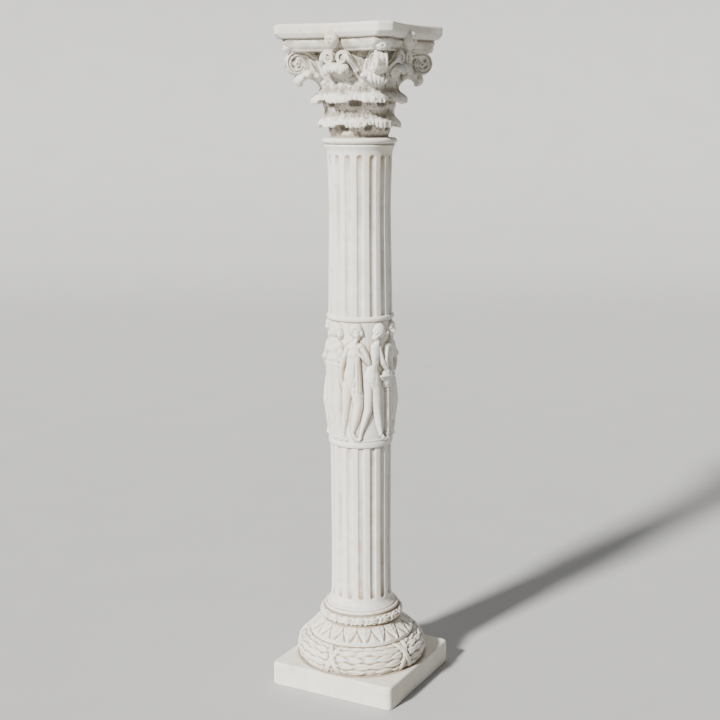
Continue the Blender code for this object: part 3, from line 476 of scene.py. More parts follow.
def foliage_relief(angles, down):
    """In each period, a curled stem round a button and six leaf lobes that fan out from it, in millimetres."""
    period = math.tau / HANGING_LEAVES
    turn = (angles - LEAF_START) % period - period / 2
    right = turn * SCROLL_RADIUS * 1000.0
    up = (0.5 - down) * 33.0
    forms = [ring(right, up, (-6.5, -1.5), 6.2, 2.6, 4.2), ring(right, up, (-6.5, -1.5), 0.0, 2.9, 3.6)]
    for start, end, widths, rise in (((1.0, -5.5), (10.0, -11.5), (3.6, 2.8), 3.8),
                                     ((2.5, -1.0), (15.0, -5.0), (3.4, 2.4), 4.4),
                                     ((2.0, 3.0), (16.5, 4.0), (3.6, 2.8), 4.4),
                                     ((-1.0, 7.5), (9.0, 11.5), (3.6, 2.8), 3.8),
                                     ((-11.5, 6.5), (-18.5, 10.5), (3.0, 2.2), 3.4),
                                     ((-12.5, -7.5), (-19.0, -10.5), (3.0, 2.2), 3.4)):
        forms.append(lobe(right, up, start, end, widths, rise))
    edge = 1.0 - smoothstep(0.36, 0.48, np.abs(down - 0.5))
    return (np.maximum.reduce(forms) * edge - 1.8) / 1000.0


scroll_down = np.linspace(0.0, 1.0, SCROLL_ROWS)[:, None]
scroll_path = arc((SCROLL_RADIUS - SCROLL_HALF, SCROLL_Z), (SCROLL_HALF, SCROLL_HALF), 75, -58, SCROLL_ROWS)
foliage = blurred(foliage_relief(base_angles, scroll_down), 0.4, 0.4)
neck_path = walked(at_level(BASE_HIGH, (96, 0), (101, 0), (103, -0.8), (104, -3), (104, -7), (102, -8.8),
                            (101, -9.5)), 14)
garland_end = 1000.0 * garland_path[-1][0]
foot_path = walked(at_level(PLINTH_TOP, (garland_end - 3.0, -2.0), (garland_end - 12.0, -6.0)), 4)

# %% All the mouldings as one sheet, weathered
def weathered(points, seed, wobble=0.00035, pits=0.0006, pit_size=0.0045, bare=0.42):
    """A sheet moved along its normals: slow waves of the mould, and pits where a fine noise is high."""
    waves = rough(points, 0.03, seed) * wobble
    holes = unit(noise(points, pit_size, seed + 7) - bare) / (1.0 - bare)
    patches = smoothstep(-0.1, 0.5, noise(points, 0.05, seed + 11))
    return points + normals_of(points) * (waves - pits * holes * patches)[..., None]


def level_rows(path):
    """Rows without relief for a plain moulding."""
    return np.zeros((len(path), BASE_COLUMNS))


base_path = np.concatenate([neck_path, scroll_path, hollow_path, fillet_path, garland_path, foot_path])
base_relief = np.concatenate([level_rows(neck_path), foliage, hollow, level_rows(fillet_path), garland,
                              level_rows(foot_path)])
mouldings = weathered(turned(base_path, base_relief, base_angles), 3)
mouldings[0, :, 2] = BASE_HIGH
# Painted shade by rows: on the neck, the underside of the foliage round, the top of the hollow, the fillet and the
# garland's top under it; painted shade and dirt at the garland's foot and on the step to the plinth.
painted_shade_and_dirt_rows = np.concatenate([
    np.full((len(neck_path), 1), 0.25), 0.4 * smoothstep(0.70, 1.0, scroll_down), 0.8 * np.exp(-fall / 0.12),
    np.full((len(fillet_path), 1), 0.10),
    0.55 * smoothstep(0.70, 1.0, garland_down) + 0.5 * np.exp(-garland_down / 0.03),
    np.full((len(foot_path), 1), 0.7)])
# Recesses are painted darker as shade, with dirt, and the rows above are added with some noise.
base_soil = recess_of(mouldings, (5.0, 4.0), 0.0022) + painted_shade_and_dirt_rows * (0.7 + 0.6 * noise(mouldings, 0.03, 19))
piece_from_grids("base_mouldings", [(mouldings, unit(base_soil))], "base")

# %% [markdown]
# The plinth. It is the square slab under the mouldings, with soft arrises from the mould. A plain box would
# look machined, so it is one sheet that starts under the garland, runs out to the edge, over it, down the
# side and in underneath. Its outline is a square with rounded corners at every level. Air pits gather on the
# top near one corner, as they do where the mix was poured last.

# %% A square sheet for the plinth
SQUARE_POWER, PLINTH_ARRIS, POURED_LAST_AT = 28.0, 0.0075, (0.13, -0.15)


def square_outline(columns, half):
    """A square with soft corners: |x|^p + |y|^p = half^p for a high power p. Columns crowd at the corners."""
    step = once_round(columns)
    turn = step - 0.2 * np.sin(4.0 * step) + math.pi / 4
    x, y = np.cos(turn), np.sin(turn)
    scale = (np.abs(x) ** SQUARE_POWER + np.abs(y) ** SQUARE_POWER) ** (-1.0 / SQUARE_POWER)
    return half * x * scale, half * y * scale


plinth_path = np.concatenate([
    walked([(0.120, PLINTH_TOP - 0.0004), (PLINTH_HALF - PLINTH_ARRIS, PLINTH_TOP)], 34),
    arc((PLINTH_HALF - PLINTH_ARRIS, PLINTH_TOP - PLINTH_ARRIS), (PLINTH_ARRIS - 0.0006, PLINTH_ARRIS), 84, 4, 9),
    walked([(PLINTH_HALF - 0.0005, PLINTH_TOP - PLINTH_ARRIS - 0.002), (PLINTH_HALF, BASE_LOW + 0.005)], 22),
    arc((PLINTH_HALF - 0.003, BASE_LOW + 0.003), (0.003, 0.003), -8, -90, 6),
    walked([(PLINTH_HALF - 0.008, BASE_LOW), (0.05, BASE_LOW)], 6)])
plinth_x, plinth_y = square_outline(320, plinth_path[:, :1])
plinth = np.stack([plinth_x, plinth_y, plinth_path[:, 1:] + 0.0 * plinth_x], axis=-1)
from_corner = np.hypot(plinth[..., 0] - POURED_LAST_AT[0], plinth[..., 1] - POURED_LAST_AT[1])
poured_last = hill(from_corner, 0.0, 0.045) * (plinth[..., 2] > PLINTH_TOP - 0.002)
dents = unit(noise(plinth, 0.006, 31) - 0.35) * poured_last * 0.0035
plinth = weathered(plinth, 23, wobble=0.0005, pits=0.0004)
plinth[..., 2] -= dents
plinth[..., :2] = np.clip(plinth[..., :2], -PLINTH_HALF, PLINTH_HALF)
plinth[..., 2] = np.where(plinth_path[:, 1:] <= BASE_LOW + 1e-6, BASE_LOW, np.maximum(plinth[..., 2], BASE_LOW))
# A painted shadow of the garland on the plinth's top round its foot; the stains are real, and recesses are painted
# darker as shade.
painted_garland_shadow = hill(np.hypot(plinth[..., 0], plinth[..., 1]), 0.176, 0.008) * (plinth[..., 2] > 0.05)
stains = 0.26 * smoothstep(0.1, 0.7, rough(plinth, 0.06, 37))
plinth_soil = unit(recess_of(plinth, (3.0, 3.0), 0.002) + stains + 0.75 * painted_garland_shadow)
piece_from_grids("plinth", [(plinth, plinth_soil)], "base")

# %% [markdown]
# The band of bathers. A carver of low relief works back to front: block out the figure behind, lay the next
# one over it, and cut a thin groove where two forms meet, so that each reads against the other. The code
# does the same on a map of heights over the unrolled drum. A form is a signed height: round on top, and
# falling away below zero outside its edge. Forms of one body are blended, and a form laid over another
# leaves a groove along the line where the two heights are equal. Lengths on the map are hundredths of a
# figure's height. The four bathers and the basin stand twice round the drum.

# %% The map of the drum, and forms on it
FRIEZE_FOOT = SHAFT_LOW + 0.4815
FRIEZE_TOP = FRIEZE_FOOT + 0.328
HUNDREDTH = 0.00322
MAP_RADIUS = 0.095
FRIEZE_TURN = math.radians(-61.8)
DEGREE = math.radians(1.0) * MAP_RADIUS / HUNDREDTH


def blend(*forms, soft=0.0022):
    """Parts of one body, rounded into each other."""
    whole = forms[0]
    for form in forms[1:]:
        whole = soft_max(whole, form, soft)
    return whole


def bar(at, first, last):
    """A tapering bar, round on top, between two joints (right, up, half width, rise in mm). Beside it the form
    falls away below zero."""
    along, away = to_line(*at, first[:2], last[:2])
    width = first[2] + (last[2] - first[2]) * along
    rise = (first[3] + (last[3] - first[3]) * along) / 1000.0
    return np.where(away < width, rise * dome(away / width, 0.68), (width - away) * HUNDREDTH)


def limb(at, *joints, soft=0.0015):
    """Bars from joint to joint, blended where they meet."""
    return blend(*(bar(at, *pair) for pair in zip(joints, joints[1:])), soft=soft)


def egg(at, centre, halves, rise, tilt=0.0):
    """An egg of those half widths, tilted clockwise in degrees, round on top. The rise is in millimetres."""
    x, y = leaned(*at, centre, tilt)
    share = np.hypot(x / halves[0], y / halves[1])
    return np.where(share < 1.0, rise / 1000.0 * dome(share, 0.6), (1.0 - share) * min(halves) * HUNDREDTH)


def marked(at, swells=(), creases=()):
    """Soft hills (right, up, half width, half height, rise in mm, and a tilt if any), hollow if the rise is
    negative, and soft lines cut (from right, up, to right, up, half width, depth in mm)."""
    total = 0.0
    for right, up, wide, tall, rise, *tilt in swells:
        x, y = leaned(*at, (right, up), *(tilt or [0.0]))
        total = total + rise * np.exp(-(x / wide) ** 2 - (y / tall) ** 2)
    for *line, width, depth in creases:
        total = total - depth * hill(to_line(*at, line[:2], line[2:])[1], 0.0, width)
    return total / 1000.0


def lay(ground, *forms, groove=1.3, reach=0.0013):
    """Forms laid over the ground in turn, with a groove of so many mm where the two heights are equal."""
    for form in forms:
        ground = np.maximum(ground, form) - groove / 1000.0 * hill(form, ground, reach)
    return ground


print("one degree round the drum is", round(DEGREE, 3), "hundredths of a figure")

# %% [markdown]
# Heads. Each face is the same calm, general one, in the proportions that drawing books teach: the eyes half
# way down the head, the nose ending half way from them to the chin, the mouth a third of the way on. The
# hair is a cap of wavy strands that run out from the crown.

# %% A general face and a cap of hair
def face(x, y, depth):
    """Heights of a general face over (x, y) from -1 to 1, chin down: brow, sockets, lids, nose, lips, chin."""
    def soft(cx, cy, wx, wy, rise):
        return rise * np.exp(-((x - cx) / wx) ** 2 - ((y - cy) / wy) ** 2)
    form = soft(0.0, 0.34, 0.62, 0.10, 0.05)
    for side in (-1, 1):
        form += soft(0.37 * side, 0.06, 0.24, 0.13, -0.17) + soft(0.37 * side, 0.04, 0.14, 0.07, 0.12)
        form += soft(0.37 * side, 0.03, 0.17, 0.022, -0.03) + soft(0.48 * side, -0.30, 0.26, 0.22, 0.06)
        form += soft(0.10 * side, -0.34, 0.07, 0.06, 0.09)
    nose = (0.10 + 0.20 * (1.0 - smoothstep(-0.32, 0.25, y))) * smoothstep(-0.44, -0.36, y)
    form += nose * (1.0 - smoothstep(0.2, 0.4, y)) * np.exp(-(x / 0.13) ** 2)
    form += soft(0.0, -0.55, 0.24, 0.045, 0.09) + soft(0.0, -0.65, 0.20, 0.050, 0.10)
    form += soft(0.0, -0.60, 0.27, 0.018, -0.07) + soft(0.0, -0.74, 0.20, 0.05, -0.05)
    form += soft(0.0, -0.86, 0.20, 0.10, 0.10)
    return depth * form


def with_face(ground, at, centre, halves, rise, tilt, glance):
    """A head laid into the hair: the hair is pushed down inside its oval first, so that it stands round the
    face. Tilt leans the head clockwise, and glance moves the face's middle to one side."""
    share = np.hypot((at[0] - centre[0]) / halves[0], (at[1] - centre[1]) / halves[1])
    ground = ground + (np.minimum(ground, 0.0095) - ground) * (1.0 - smoothstep(0.86, 1.04, share))
    x, y = leaned(*at, centre, tilt)
    narrow = halves[0] * (1.0 - 0.20 * smoothstep(0.1, 1.0, -y / halves[1]))
    form = egg((x * halves[0] / narrow, y), (0.0, 0.0), halves, rise)
    features = np.where(form > 0.0, face(x / narrow - glance, y / halves[1], 0.0110), 0.0)
    return lay(ground, form + features, groove=0.8)


def hair(at, centre, halves, rise, crown, tilt=0.0, waves=13.0):
    """An egg whose surface runs in wavy strands from the crown outwards."""
    form = egg(at, centre, halves, rise, tilt)
    x, y = at[0] - crown[0], at[1] - crown[1]
    out = np.hypot(x, y)
    strands = np.cos(waves * np.arctan2(y, x) + 1.3 * np.sin(1.1 * out)) * smoothstep(0.4, 2.2, out)
    return form + np.where(form > 0.0005, 0.0012 * strands, 0.0)


def hand(at, centre, heading, level):
    """A small hand: a palm and four fingers side by side, pointing along heading in degrees, level in mm."""
    side, ahead = leaned(*at, centre, heading)
    palm = egg((ahead, side), (0.0, 0.0), (1.5, 1.3), level)
    for finger in range(4):
        across = (finger - 1.5) * 0.72
        tip = (2.5 - 0.18 * abs(finger - 1.4), across * 1.12, 0.34, level * 0.95)
        palm = soft_max(palm, bar((ahead, side), (0.6, across, 0.42, level), tip), 0.0004)
    return palm


print("face relief for a head 12 hundredths tall:", round(12 * HUNDREDTH * 1000, 1), "mm")

# %% The bather by the basin, and the basin
def bather_by_basin(ground, a, up):
    """A bather who stands behind the basin: bare above the waist, a cloth round the legs."""
    at = x, up = a - 66.0 * DEGREE, up
    feet = blend(bar(at, (-1, 5.5, 1.8, 8), (-3.6, 2, 1.5, 9)), bar(at, (6.4, 5.5, 1.9, 8), (9.6, 2, 1.5, 9)))
    legs = blend(limb(at, (-1, 52, 4.6, 11.5), (-1.5, 40, 4.2, 11), (-1.5, 30, 3.2, 10), (-1.2, 18, 3, 9),
                      (-1, 7, 1.8, 7.5)),
                 limb(at, (4.6, 51, 5, 12.5), (8, 41, 4.6, 15), (10, 31.5, 3.6, 17), (8.4, 19, 3, 11.5),
                      (6.4, 7.5, 1.8, 8)))
    cloth = limb(at, (1.2, 56, 6.2, 11.5), (3, 44, 8.4, 13.5), (5.4, 33, 8.6, 15), (4.2, 22, 7.4, 10.5),
                 (3.4, 15, 6.2, 8))
    folds = 0.0010 * np.cos(1.55 * (x + 0.22 * (up - 34)) + 0.5 * np.sin(up / 5.0))
    hem = np.where(up < 15.5 + 0.7 * np.sin(1.4 * x), (up - 15.5) * HUNDREDTH, cloth)
    cloth = np.minimum(cloth + np.where(cloth > 0.001, folds, 0.0), np.where(up < 18, hem, cloth + folds))
    torso = limb(at, (1, 87, 2.2, 9), (-0.6, 80, 6, 11), (-1, 73, 5.2, 11.5), (-0.5, 66, 4.5, 9.5),
                 (1, 57.5, 5.8, 11.5))
    torso = blend(torso, bar(at, (-6.2, 80.6, 2.9, 10.5), (6, 80.6, 2.9, 10.5)))
    torso += marked(at, [(-3.4, 75.6, 1.9, 2, 2.6), (2.2, 75.6, 1.9, 2, 2.6), (0, 61.5, 0.6, 0.6, -1)],
                    [(-0.5, 73.5, -0.1, 62, 0.6, 0.6)])
    neck = limb(at, (1.4, 90.5, 2, 9.5), (1, 86, 2.1, 10), (0.4, 83.5, 3, 10.5))
    far_arm = limb(at, (-6.6, 80.2, 3.1, 10.6), (-9.2, 74.5, 2.9, 12.6), (-10.6, 69.2, 2.6, 15),
                   (-9, 64, 2.3, 14.5), (-7.2, 59.2, 1.6, 13.5))
    near_arm = limb(at, (6.3, 80.2, 3.1, 10.6), (9, 73.5, 2.9, 12.6), (10.5, 67.2, 2.6, 15),
                    (7.2, 62.2, 2.3, 14.5), (4.2, 58.6, 1.6, 13.5))
    ground = lay(ground, feet, legs, cloth, torso, neck, far_arm, near_arm,
                 hair(at, (2.4, 96), (5.6, 5.6), 13, (3, 99.5), tilt=-10),
                 hair(at, (7, 93.5), (2.1, 2.1), 12, (7, 93.5), waves=6))
    return with_face(ground, at, (1.6, 93), (3.9, 5.5), 13, tilt=10, glance=-0.12)


def basin(ground, a, up):
    """A shallow fluted bowl on a turned stem."""
    at = x, up = a - 54.0 * DEGREE, up
    bowl = limb(at, (0, 54, 8.6, 13.5), (0, 50.5, 6.4, 12.5), (0, 47, 3.2, 9.5), soft=0.0008)
    bowl += np.where(bowl > 0.001, 0.0008 * np.cos(4.2 * x / (0.35 + 0.065 * np.clip(up - 44, 2, 12))), 0.0)
    stem = limb(at, (0, 47.5, 2, 8.5), (0, 40, 2.5, 9.5), (0, 22, 2.3, 9.5), (0, 4.5, 3, 9.5))
    *collars, foot, lip, rim = (
        bar(at, (-half, level, width, rise), (half, level, width, rise)) for level, half, width, rise in (
            (46.4, 2.0, 0.9, 10.8), (43.6, 1.7, 0.9, 10.8), (5.6, 2.6, 0.9, 10.8), (1.6, 3.6, 1.9, 10.5),
            (53.4, 8.6, 0.8, 13.6), (55.6, 9.6, 1.25, 15.0)))
    return lay(ground, stem, *collars, foot, bowl, lip, rim, groove=0.9)


print("basin rim stands at", round(FRIEZE_FOOT + 55.6 * HUNDREDTH, 3))

# %% The bather seen from behind
def bather_from_behind(ground, a, up):
    """A bather turned away, bowed over the basin with one arm on its rim: spine, shoulder blade, dimples."""
    at = a - 22.0 * DEGREE, up
    far_leg = limb(at, (-3.6, 50, 5.2, 11.5), (-4, 38, 4.4, 11), (-4.6, 28, 4, 10.5), (-7.4, 19, 3.3, 9.5),
                   (-10.3, 10.5, 2.1, 8), (-11.2, 6, 1.7, 7.5))
    far_leg += marked(at, [(-6.6, 22.5, 2.2, 5, 1.3, 26)])
    ground = lay(ground, limb(at, (-11.4, 6.5, 1.8, 8), (-11.8, 3.4, 1.8, 8.5), (-14.4, 1.8, 1.3, 8)))
    ground = lay(ground, far_leg, groove=1.6)
    ground = lay(ground, limb(at, (8.8, 6, 2.1, 8.5), (10.8, 3, 2, 9), (16.2, 1.6, 1.4, 8)))
    near_leg = limb(at, (2.6, 50, 6.6, 12.5), (3.5, 37, 6, 12.3), (4.5, 27, 4.7, 11), (6.3, 16, 3.8, 10),
                    (8.4, 6, 2.3, 8.5))
    near_leg += marked(at, [(5.2, 21, 2.4, 5, 1.4, -20)], [(2, 28.6, 6.4, 28, 0.7, 0.7)])
    back = limb(at, (5, 86.5, 2.6, 9.5), (3, 80.5, 5, 11.5), (2.2, 73, 4.6, 11.5), (1.8, 68, 4.7, 10.8),
                (-0.2, 61.5, 6.2, 11.2), (-0.5, 56, 8.3, 12.3), (-0.3, 51, 8.5, 12.8))
    back += marked(at, [(-3.2, 53.5, 4.2, 4.4, 2), (4.2, 53, 3.6, 4.2, 1.8), (4.8, 77, 1.6, 3, 1.2, 20)],
                   [(3.2, 83, 2.6, 70, 0.9, 0.8), (2.4, 70, 1.4, 59, 0.8, 0.6), (1.2, 56, 0.2, 48.5, 0.7, 0.9),
                    (-6.2, 51.6, -1.2, 49.8, 0.6, 1.2)])
    ground = lay(ground, blend(back, near_leg), groove=1.8)
    arm = limb(at, (5.4, 80.6, 3.3, 10.8), (7.4, 74.2, 3, 12.6), (9.8, 67.2, 2.8, 14), (13.8, 62.4, 2.3, 14),
               (17.4, 59.2, 1.6, 14))
    ground = lay(ground, arm, groove=1.9)
    ground = lay(ground, hand(at, (18.4, 58.4), 130, 16.5),
                 hair(at, (3, 89.6), (3.8, 4), 12.5, (10, 97), tilt=40, waves=21))
    ground = lay(ground, hair(at, (6.8, 94.2), (6.9, 6.9), 15, (9, 97.5), waves=15), groove=2.0)
    return lay(ground, hair(at, (13.4, 92.4), (3, 2.8), 14.5, (13.4, 92.4), waves=6))


# %% The bather with the towel
def bather_with_towel(ground, a, up):
    """A bather who faces out with the head bowed, one arm down, the other holding a long towel."""
    at = x, up = a + 8.0 * DEGREE, up
    back_leg = limb(at, (-8, 50, 5.4, 11), (-9, 40, 4.9, 10.5), (-9.6, 30, 3.7, 10), (-11.2, 19, 3.4, 9),
                    (-12.2, 8, 1.9, 7))
    back_leg += marked(at, creases=[(-11, 31, -8.6, 30.6, 0.5, 0.5)])
    ground = lay(ground, limb(at, (-12.6, 6.5, 1.7, 7.5), (-11.6, 3.2, 1.7, 8.5), (-8.4, 1.6, 1.3, 8)))
    ground = lay(ground, back_leg, groove=1.5)
    ground = lay(ground, limb(at, (-3, 7, 1.8, 8), (-1.4, 3.6, 1.8, 9), (2.8, 1.8, 1.4, 8.5)))
    body = limb(at, (-0.3, 86, 2.6, 9), (-1.2, 80, 6.8, 11), (-2.2, 72, 6.4, 11.8), (-3.4, 64.5, 6, 10.5),
                (-4.2, 57, 7.4, 12), (-4.2, 51, 8, 12.3))
    shoulders = bar(at, (-6.2, 81.2, 2.9, 11), (4.4, 82, 2.9, 11))
    front_leg = limb(at, (-1.2, 49.5, 6.2, 12.3), (1.2, 40, 5.8, 12), (2, 31, 4.6, 11.2), (-0.6, 20, 4.2, 10),
                     (-3.2, 8.5, 2.1, 8))
    body = blend(body, shoulders, front_leg)
    body += marked(at, [(-4.9, 75.4, 2.4, 2.4, 4.4), (0.6, 76, 2.4, 2.4, 4.4), (-4.6, 57.5, 2.6, 3.4, 0.9),
                        (-4.2, 61.6, 0.5, 0.6, -1.1), (2.2, 30.8, 1.4, 1.8, 1), (0.8, 21.5, 2, 5, 1, 14)],
                   [(-7.2, 73.2, -3.4, 72.4, 0.6, 0.7), (-0.8, 73, 3.2, 73.8, 0.6, 0.7),
                    (-1.9, 74.5, -3.8, 63, 0.6, 0.6), (-8.6, 54, -5.4, 49, 0.8, 0.5),
                    (-5, 80.6, -1.4, 83.2, 0.5, 0.6), (0.2, 83.4, 3.6, 81.6, 0.5, 0.6),
                    (0.6, 28.6, 3.6, 28.8, 0.5, 0.5), (-2.6, 47, -4.6, 33, 0.7, 1.6)])
    ground = lay(ground, body, groove=1.6)
    arm_down = limb(at, (-7.2, 80.4, 3.1, 10.6), (-10.6, 73, 2.9, 12.2), (-13.2, 63.8, 2.6, 13.2),
                    (-13.6, 57, 2.3, 13), (-12.6, 50.6, 1.6, 12.4))
    ground = lay(ground, arm_down, groove=2.0, reach=0.0018)
    ground = lay(ground, hand(at, (-12, 49), 150, 13))
    flap = limb(at, (0.2, 56, 2.6, 13.2), (-1.6, 49.5, 3.6, 13.2), (-6.4, 48, 0.8, 12.2))
    flap = np.minimum(flap, 0.006 + (up - 44.6 + 0.75 * (x + 2.0)) * HUNDREDTH)
    upper_arm = limb(at, (5.2, 81, 3.2, 10.6), (8.8, 75, 3, 13), (11.4, 68.6, 2.7, 14.8))
    ground = lay(ground, upper_arm, flap, groove=1.6)
    towel = limb(at, (1.8, 77, 2.2, 13), (1.2, 68, 3, 13.8), (1.4, 56, 3.5, 14.6), (1.9, 43, 4, 15))
    pleats = np.cos(2.05 * (x - 1.2) / (0.75 + 0.006 * (78.0 - up)) + 0.6 * np.sin(up / 9.0))
    towel += np.where(towel > 0.001, 0.0011 * pleats, 0.0)
    hem = 41.6 + 0.8 * np.cos(1.5 * (x - 1.0))
    ground = lay(ground, np.minimum(towel, (up - hem) * HUNDREDTH * 3.0), groove=2.0, reach=0.0018)
    ground = lay(ground, limb(at, (11.2, 68.8, 2.6, 15), (7, 72.6, 2.3, 15.6), (3.2, 76, 1.7, 15.8)), groove=1.7)
    ground = lay(ground, hand(at, (2.2, 77.2), 205, 15.8))
    ground = lay(ground, limb(at, (1.4, 90, 2, 9.5), (0.2, 86, 2.1, 10.5), (-0.4, 83, 3, 11)), groove=0.6)
    ground = lay(ground, hair(at, (0.2, 95.8), (6.4, 5.9), 12, (-0.8, 99.8), tilt=14),
                 hair(at, (5.2, 93.2), (1.7, 3.3), 10.5, (1, 99), waves=13))
    return with_face(ground, at, (1.1, 92.8), (3.9, 5.6), 13.5, tilt=-16, glance=0.10)


# %% The robed bather
def robed_bather(ground, a, up):
    """A bather in a long robe with a short cape over the shoulders, girdled at the waist."""
    at = x, up = a + 53.0 * DEGREE, up
    levels = (1.0, 2.0, 12.0, 19.0, 30.0, 50.0, 66.0, 68.0)
    left = np.interp(up, levels, (-6.0, -6.3, -8.2, -10.4, -12.4, -12.9, -12.4, -12.0))
    right = np.interp(up, levels, (10.0, 10.2, 10.2, 10.3, 10.4, 10.2, 9.8, 9.6))
    rise = np.interp(up, levels, (4.5, 5.5, 8.0, 11.0, 13.2, 13.8, 13.0, 12.5)) / 1000.0
    middle, half = (left + right) / 2, (right - left) / 2
    share = np.abs(x - middle) / half
    robe = np.where(share < 1.0, rise * dome(share ** 1.4), (1.0 - share) * half * HUNDREDTH)
    hem = up - 1.4 - 0.35 * np.cos(2.4 * x)
    robe = np.minimum(robe, np.minimum(hem, 76.0 - up) * 3.0 * HUNDREDTH)
    spread = 1.0 + 0.28 * (66.0 - up) / 66.0
    wander = 0.9 * np.sin(up / 9.0) + 0.5 * np.sin(up / 3.7 + x / 4.0)
    folds = 1.0 - 2.0 * np.abs(np.sin(0.62 * (x - 1.5) / spread + 0.22 * wander)) ** 0.8
    folds = folds + 0.45 * np.cos(1.9 * (x + 2.0) / spread + 0.9 + 0.5 * wander)
    robe += np.where(robe > 0.001, 0.0017 * folds, 0.0) * smoothstep(0.0, 6.0, up)
    robe += marked(at, [(5.2, 32, 3.2, 6.5, 2.4), (-4.6, 36, 3.4, 9, 1.8)], [(2.2, 20, 4.8, 17.6, 0.8, 1)])
    ground = lay(ground, limb(at, (1, 4, 1.8, 6.5), (0.4, 2.2, 1.8, 7.5), (-0.6, 1.2, 1.4, 7)),
                 limb(at, (7, 4, 1.8, 6.5), (7.6, 2.2, 1.8, 7.5), (8.8, 1.2, 1.4, 7)))
    ground = lay(ground, robe, groove=1.4)
    ground = lay(ground, bar(at, (-12, 65.4, 1, 15), (9.4, 65.8, 1, 14.8)), groove=0.9)
    cape = limb(at, (0.8, 84.5, 6, 11), (0, 79.5, 9.8, 12.5), (-0.8, 73, 11, 13.5), soft=0.003)
    elbow = limb(at, (-6.8, 80.5, 4.2, 13), (-11, 74, 4.4, 17), (-13.6, 69.2, 3.6, 20.5))
    near = limb(at, (7.2, 80.5, 3.6, 12), (9, 74.5, 3.4, 13), (9.4, 70, 3, 13.5))
    cape = blend(cape, elbow, near, soft=0.003)
    drape = np.cos(0.85 * np.hypot(x - 0.8, up - 93.0) + 0.25 * x) * smoothstep(3.0, 9.0, np.hypot(x, up - 88.0))
    cape += np.where(cape > 0.001, 0.0012 * drape, 0.0)
    edge = np.interp(x, (-17, -13, -6, 0, 6, 11), (66.8, 66.0, 68.6, 69.6, 68.4, 66.6)) + 0.35 * np.cos(2.2 * x)
    ground = lay(ground, np.minimum(cape, (up - edge) * HUNDREDTH * 3.0), groove=1.2)
    ground = lay(ground, limb(at, (-4.2, 69, 2, 14.5), (0.2, 70.4, 1.8, 15.2), (3.4, 70.6, 1.4, 15.2)),
                 hand(at, (4.4, 70.8), 90, 15))
    ground = lay(ground, limb(at, (1.6, 90, 2, 9.5), (1.4, 86.5, 2.2, 11), (1.2, 83.5, 3, 12)), groove=0.6)
    ground = lay(ground, hair(at, (1.8, 95), (8.4, 6.5), 12.5, (1.8, 100), waves=17))
    rolls = [hair(at, (middle, 91), (3.1, 3.9), 12.5, (middle, 91), waves=5) for middle in (-4.6, 8.2)]
    ground = lay(ground, *rolls, groove=0.9)
    return with_face(ground, at, (1.8, 92.8), (4, 5.8), 14, tilt=-4, glance=0.04)


# %% The drum in two halves
FRIEZE_ROWS, HALF_COLUMNS, RING_ROWS = 236, 284, 14
drum_path = walked([(0.0880, FRIEZE_TOP - 0.0002), (0.0865, FRIEZE_TOP - 0.0012), (0.0865, FRIEZE_FOOT + 0.0005)],
                   FRIEZE_ROWS, crowd=lambda z: 1.0 + 0.55 * smoothstep(FRIEZE_TOP - 0.09, FRIEZE_TOP - 0.06, z))
half_turn = np.radians(np.linspace(-88.0, 92.0, HALF_COLUMNS))[None, :]
drum_a, drum_up = np.broadcast_arrays(half_turn * MAP_RADIUS / HUNDREDTH,
                                      (drum_path[:, 1:] - FRIEZE_FOOT) / HUNDREDTH)
# A faint upright strip behind the heads, and a low ledge under the feet.
ground = 0.0009 * smoothstep(0.0, 1.2, 3.6 - np.abs(drum_a - 9.5 * DEGREE)) * smoothstep(70.0, 76.0, drum_up)
ground = soft_max(ground, bar((drum_a, drum_up), (-60, 0.2, 1.1, 3.5), (60, 0.2, 1.1, 3.5)), 0.001)
for figure in (bather_by_basin, basin, bather_from_behind, bather_with_towel, robed_bather):
    ground = figure(ground, drum_a, drum_up)
edge_fade = smoothstep(0.0, 0.6, drum_up) * (1.0 - smoothstep(100.6, 101.6, drum_up))
drum_relief = np.clip(ground, -0.002, 0.023) * edge_fade
print("relief stands", np.round(1000 * drum_relief.min(), 1), "to", np.round(1000 * drum_relief.max(), 1), "mm")


def fine_blur(field, amount):
    """The field rubbed a little, as the mould rubs it. It is mirrored first, as it doesn't wrap round."""
    return blurred(np.concatenate([field, field[:, ::-1]], axis=1), amount, amount)[:, :field.shape[1]]


path = np.concatenate([
    [[0.0800, FRIEZE_TOP + 0.0149]], arc((0.0856, FRIEZE_TOP + 0.0075), (0.006, 0.0075), 82, -82, RING_ROWS),
    drum_path, arc((0.0858, FRIEZE_FOOT - 0.009), (0.003, 0.009), 86, -80, RING_ROWS),
    [[0.0800, FRIEZE_FOOT - 0.0180]]])
still = np.zeros((RING_ROWS + 1, HALF_COLUMNS))
relief = np.concatenate([still, fine_blur(drum_relief, 0.95), still])
# A painted shadow just under the upper ring, and the dark joint under the lower ring.
ring_shadow_and_joint = (np.exp(-np.abs(path[:, 1:] - FRIEZE_TOP) / 0.0016)
               + np.exp(-np.abs(path[:, 1:] - FRIEZE_FOOT + 0.018) / 0.0012))
for index, name in enumerate(("bathers_front", "bathers_back")):
    plain = turned(path, relief, half_turn + FRIEZE_TURN + math.pi * index)
    band = weathered(plain, 41 + index, wobble=0.0003, pits=0.0004, pit_size=0.003)
    band[:, [0, -1]] = plain[:, [0, -1]]
    # Painted shade in the grooves and hollows between the forms, with a little random tone.
    soil = unit((fine_blur(relief, 3.4) - relief) / 0.0030 + 0.10 * noise(band, 0.03, 45))
    piece_from_grids(name, [(band, unit(soil + 0.8 * ring_shadow_and_joint))], "shaft")

